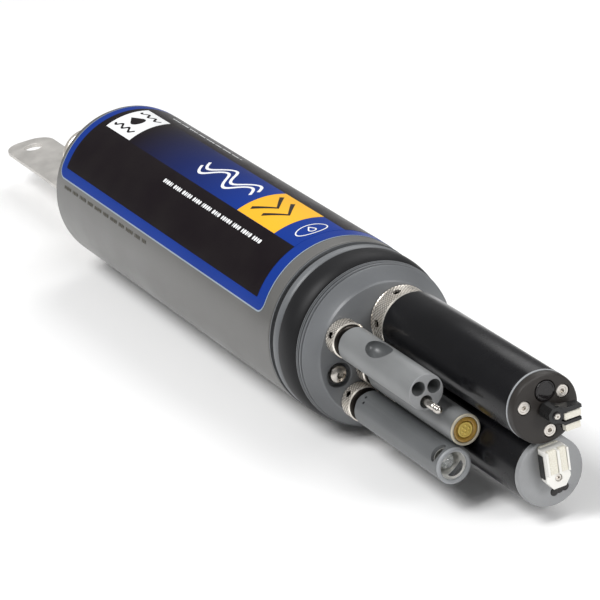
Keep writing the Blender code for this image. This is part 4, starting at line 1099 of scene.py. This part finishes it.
def make_ion():
    _, face = reach_of("ion_body")
    profile = slim_profile("ion", ION_RADIUS)[:-3]
    profile += [
        (face - 1.2, ION_RADIUS), (face - 1.1, 6.25), (face - 1.1, 5.3), (face - 5, 5.3), (face - 5, 0.0),
    ]
    lathe("ion_tube", profile, PROBE_PVC, ION_PROBE, ["ion_body"], sides=112)
    rim = [
        (face - 1.0, 5.35), (face - 1.0, 6.25), (face - 0.7, 6.42), (face - 0.25, 6.38), (face, 6.1),
        (face, 5.6), (face - 0.2, 5.35),
    ]
    lathe("ion_rim", rim, CREAM_RIM, ION_PROBE, sides=96, sharp=50)
    ring = [
        (face - 4.7, 3.4), (face - 4.7, 5.15), (face - 0.55, 5.15), (face - 0.35, 4.95), (face - 0.35, 3.9),
        (face - 0.55, 3.6), (face - 0.75, 3.4),
    ]
    lathe("ion_ring", ring, AMBER, ION_PROBE, ["ion_tip_ring"], sides=96, sharp=50)
    disc = [
        (face - 4.7, 0.0), (face - 4.7, 3.2), (face - 0.6, 3.2), (face - 0.35, 3.0), (face - 0.3, 2.7),
        (face - 0.45, 2.5), (face - 0.45, 0.0),
    ]
    lathe("ion_disc", disc, YELLOW_MEMBRANE, ION_PROBE, ["ion_membrane"], sides=80)
    dot = [
        (face - 0.5, 0.0), (face - 0.5, 0.42), (face - 0.3, 0.38), (face - 0.15, 0.2), (face - 0.12, 0.0),
    ]
    bm = bmesh.new()
    for y, z in [(0.0, 0.0)] + [polar(1.55, 60 * k + 15) for k in range(6)]:
        add_lathe(bm, dot, 20, y, z)
    add_piece("ion_dots", bm, YELLOW_MEMBRANE, ION_PROBE, sharp=60)


def make_ph():
    _, face = reach_of("ph_body")
    rim_x = face - 1.3
    profile = slim_profile("ph", SLIM_RADIUS)[:-3]
    profile += [(rim_x, SLIM_RADIUS), (rim_x, 5.8), (316.0, 5.8), (316.0, 0.0)]
    guard = lathe("ph_guard", profile, DARK_PVC, PH_PROBE, ["ph_body"], sides=128)
    combine_lathe(guard, rod(305.0, 318.0, 2.9), 40, PH)
    # Painted light: a white liner inside the guard stands in for the brightness seen in its mouth and
    # windows.
    sleeve = [(316.4, 4.9), (316.4, 5.7), (rim_x, 5.7), (rim_x, 5.5), (317.0, 5.5), (317.0, 4.9)]
    painted_light_liner = lathe("ph_painted_light_liner", sleeve, WHITE_PLASTIC, PH_PROBE, slot="light_grey_plastic", sides=96)
    for degrees in (125.0, 305.0):
        window = on_side(degrees, rim_x - 3.4, 7.0) @ Matrix.Diagonal((2.3, 4.0, 1.0, 1.0))
        drill(guard, PH, 1.0, 6.0, 48, [window])
        drill(painted_light_liner, PH, 1.0, 6.0, 48, [window])
    for degrees, x in ((112.0, 269.0), (130.0, 270.4)):
        drill(guard, PH, 0.6, 3.0, 24, [on_side(degrees, x, SLIM_RADIUS)], sharp=34.0)
    rim = [
        (rim_x + 0.05, 5.7), (rim_x + 0.05, 7.3), (rim_x + 0.4, 7.42), (face - 0.3, 7.38), (face - 0.05, 7.1),
        (face, 6.8), (face, 6.2), (face - 0.2, 5.85), (face - 0.5, 5.7),
    ]
    lathe("ph_rim", rim, PALE_RIM, PH_PROBE, sides=112, sharp=50)
    start, tip = reach_of("ph_bulb")
    radius = 3.4
    centre = tip - radius
    neck = math.asin(2.2 / radius)
    bulb = [(start, 0.0), (start, 2.2), (centre - radius * math.cos(neck) - 1.0, 2.2)]
    bulb += arc(centre, 0.0, radius, radius, 180 - math.degrees(neck), 0, 24)[:-1] + [(tip, 0.0)]
    lathe("glass_bulb", bulb, CLEAR_GLASS, PH_PROBE, ["ph_bulb"], sides=64, sharp=50)
    stem = rod(start + 0.5, centre - 0.5, 0.8, 0.3)
    lathe("bulb_wire", stem, STEEL, PH_PROBE, sides=24)


def paint_cad_nodes():
    """CAD nodes that stay in view, or inside, get their finish from their record slot."""
    for part in frame["record"]["subparts"]:
        slots = frame["nodes"][part["node"]].data.materials
        look = FINISHES[part["material_slot"]][0]
        if len(slots):
            slots[0] = look
        else:
            slots.append(look)


# Studio, in metres

WORLD_STRENGTH = 0.26
LIGHT_AIM = (0.05, 0.0, 0.03)
# Name, place, width and watts.
LIGHTS = (
    ("key", (0.2, -0.9, 1.5), 0.9, 24.0),
    ("back", (-0.6, 0.9, 1.3), 1.2, 9.0),
    ("front", (1.5, 0.5, 0.7), 0.6, 12.0),
)
# Heading, height and roll.
CAMERA_ANGLES_DEG = (-23.0, 23.32, -9.41)
CAMERA_AIM_MM = (205.0, -11.7, 10.1)
CAMERA_DISTANCE = 1.4
CAMERA_LENS_MM = 204.0


def make_floor():
    bm = bmesh.new()
    bmesh.ops.create_grid(bm, x_segments=1, y_segments=1, size=6.0)
    mesh = bpy.data.meshes.new("floor")
    bm.to_mesh(mesh)
    bm.free()
    floor = add_object("floor", mesh)
    floor.location = (0, 0, -0.0003)
    paint = Paint("pale_floor", (0.97, 0.97, 0.97), 0.8)
    mesh.materials.append(paint.material)


def make_lights():
    world = bpy.data.worlds.new("studio")
    bpy.context.scene.world = world
    world.use_nodes = True
    background = world.node_tree.nodes["Background"]
    background.inputs["Color"].default_value = (1.0, 1.0, 1.0, 1.0)
    background.inputs["Strength"].default_value = WORLD_STRENGTH
    aim = Vector(LIGHT_AIM)
    for name, spot, size, power in LIGHTS:
        light = bpy.data.lights.new(name, "AREA")
        light.shape = "DISK"
        light.size = size
        light.energy = power
        lamp = add_object(name, light)
        lamp.location = spot
        lamp.rotation_euler = (aim - Vector(spot)).to_track_quat("-Z", "Y").to_euler()


def make_camera():
    """Long lens in front of the probes, slightly above, tilted a little to one side."""
    heading, height, roll = (math.radians(angle) for angle in CAMERA_ANGLES_DEG)
    flat = math.cos(height)
    back = Vector((math.cos(heading) * flat, math.sin(heading) * flat, math.sin(height)))
    level = Vector((0, 0, 1)).cross(back).normalized()
    rise = back.cross(level)
    right = level * math.cos(roll) + rise * math.sin(roll)
    up = back.cross(right)
    aim = ORIGIN + Vector(CAMERA_AIM_MM) * MM
    data = bpy.data.cameras.new("camera")
    data.sensor_width = 36.0
    data.lens = CAMERA_LENS_MM
    data.clip_start = 0.05
    data.clip_end = 50.0
    camera = add_object("camera", data)
    turn = Matrix((right, up, back)).transposed().to_4x4()
    camera.matrix_world = Matrix.Translation(aim + back * CAMERA_DISTANCE) @ turn
    bpy.context.scene.camera = camera
    bpy.context.scene.view_settings.view_transform = "Standard"


make_camera()
make_floor()
make_lights()
paint_cad_nodes()
make_tube()
make_label()
make_bulkhead()
make_bulkhead_rings()
make_earth_screw()
make_rear_cap()
make_bail()
make_bail_screws()
make_connector()
make_nut("a", "optical_nut_a", 52, 5, 1.8, 98.0)
make_nut("b", "optical_nut_b", 52, 5, 1.8, 133.0)
make_nut("conductivity", "conductivity_nut", 30, 4, 1.4, 150.0)
make_nut("ion", "ion_nut", 26, 4, 1.3, 165.0)
make_nut("ph", "ph_nut", 30, 4, 1.4, 135.0)
make_optical_body("a", OPTICAL_A)
make_optical_body("b", OPTICAL_B)
make_end_a()
make_wiper_a()
make_end_b()
make_wiper_b()
make_conductivity()
make_ion()
make_ph()
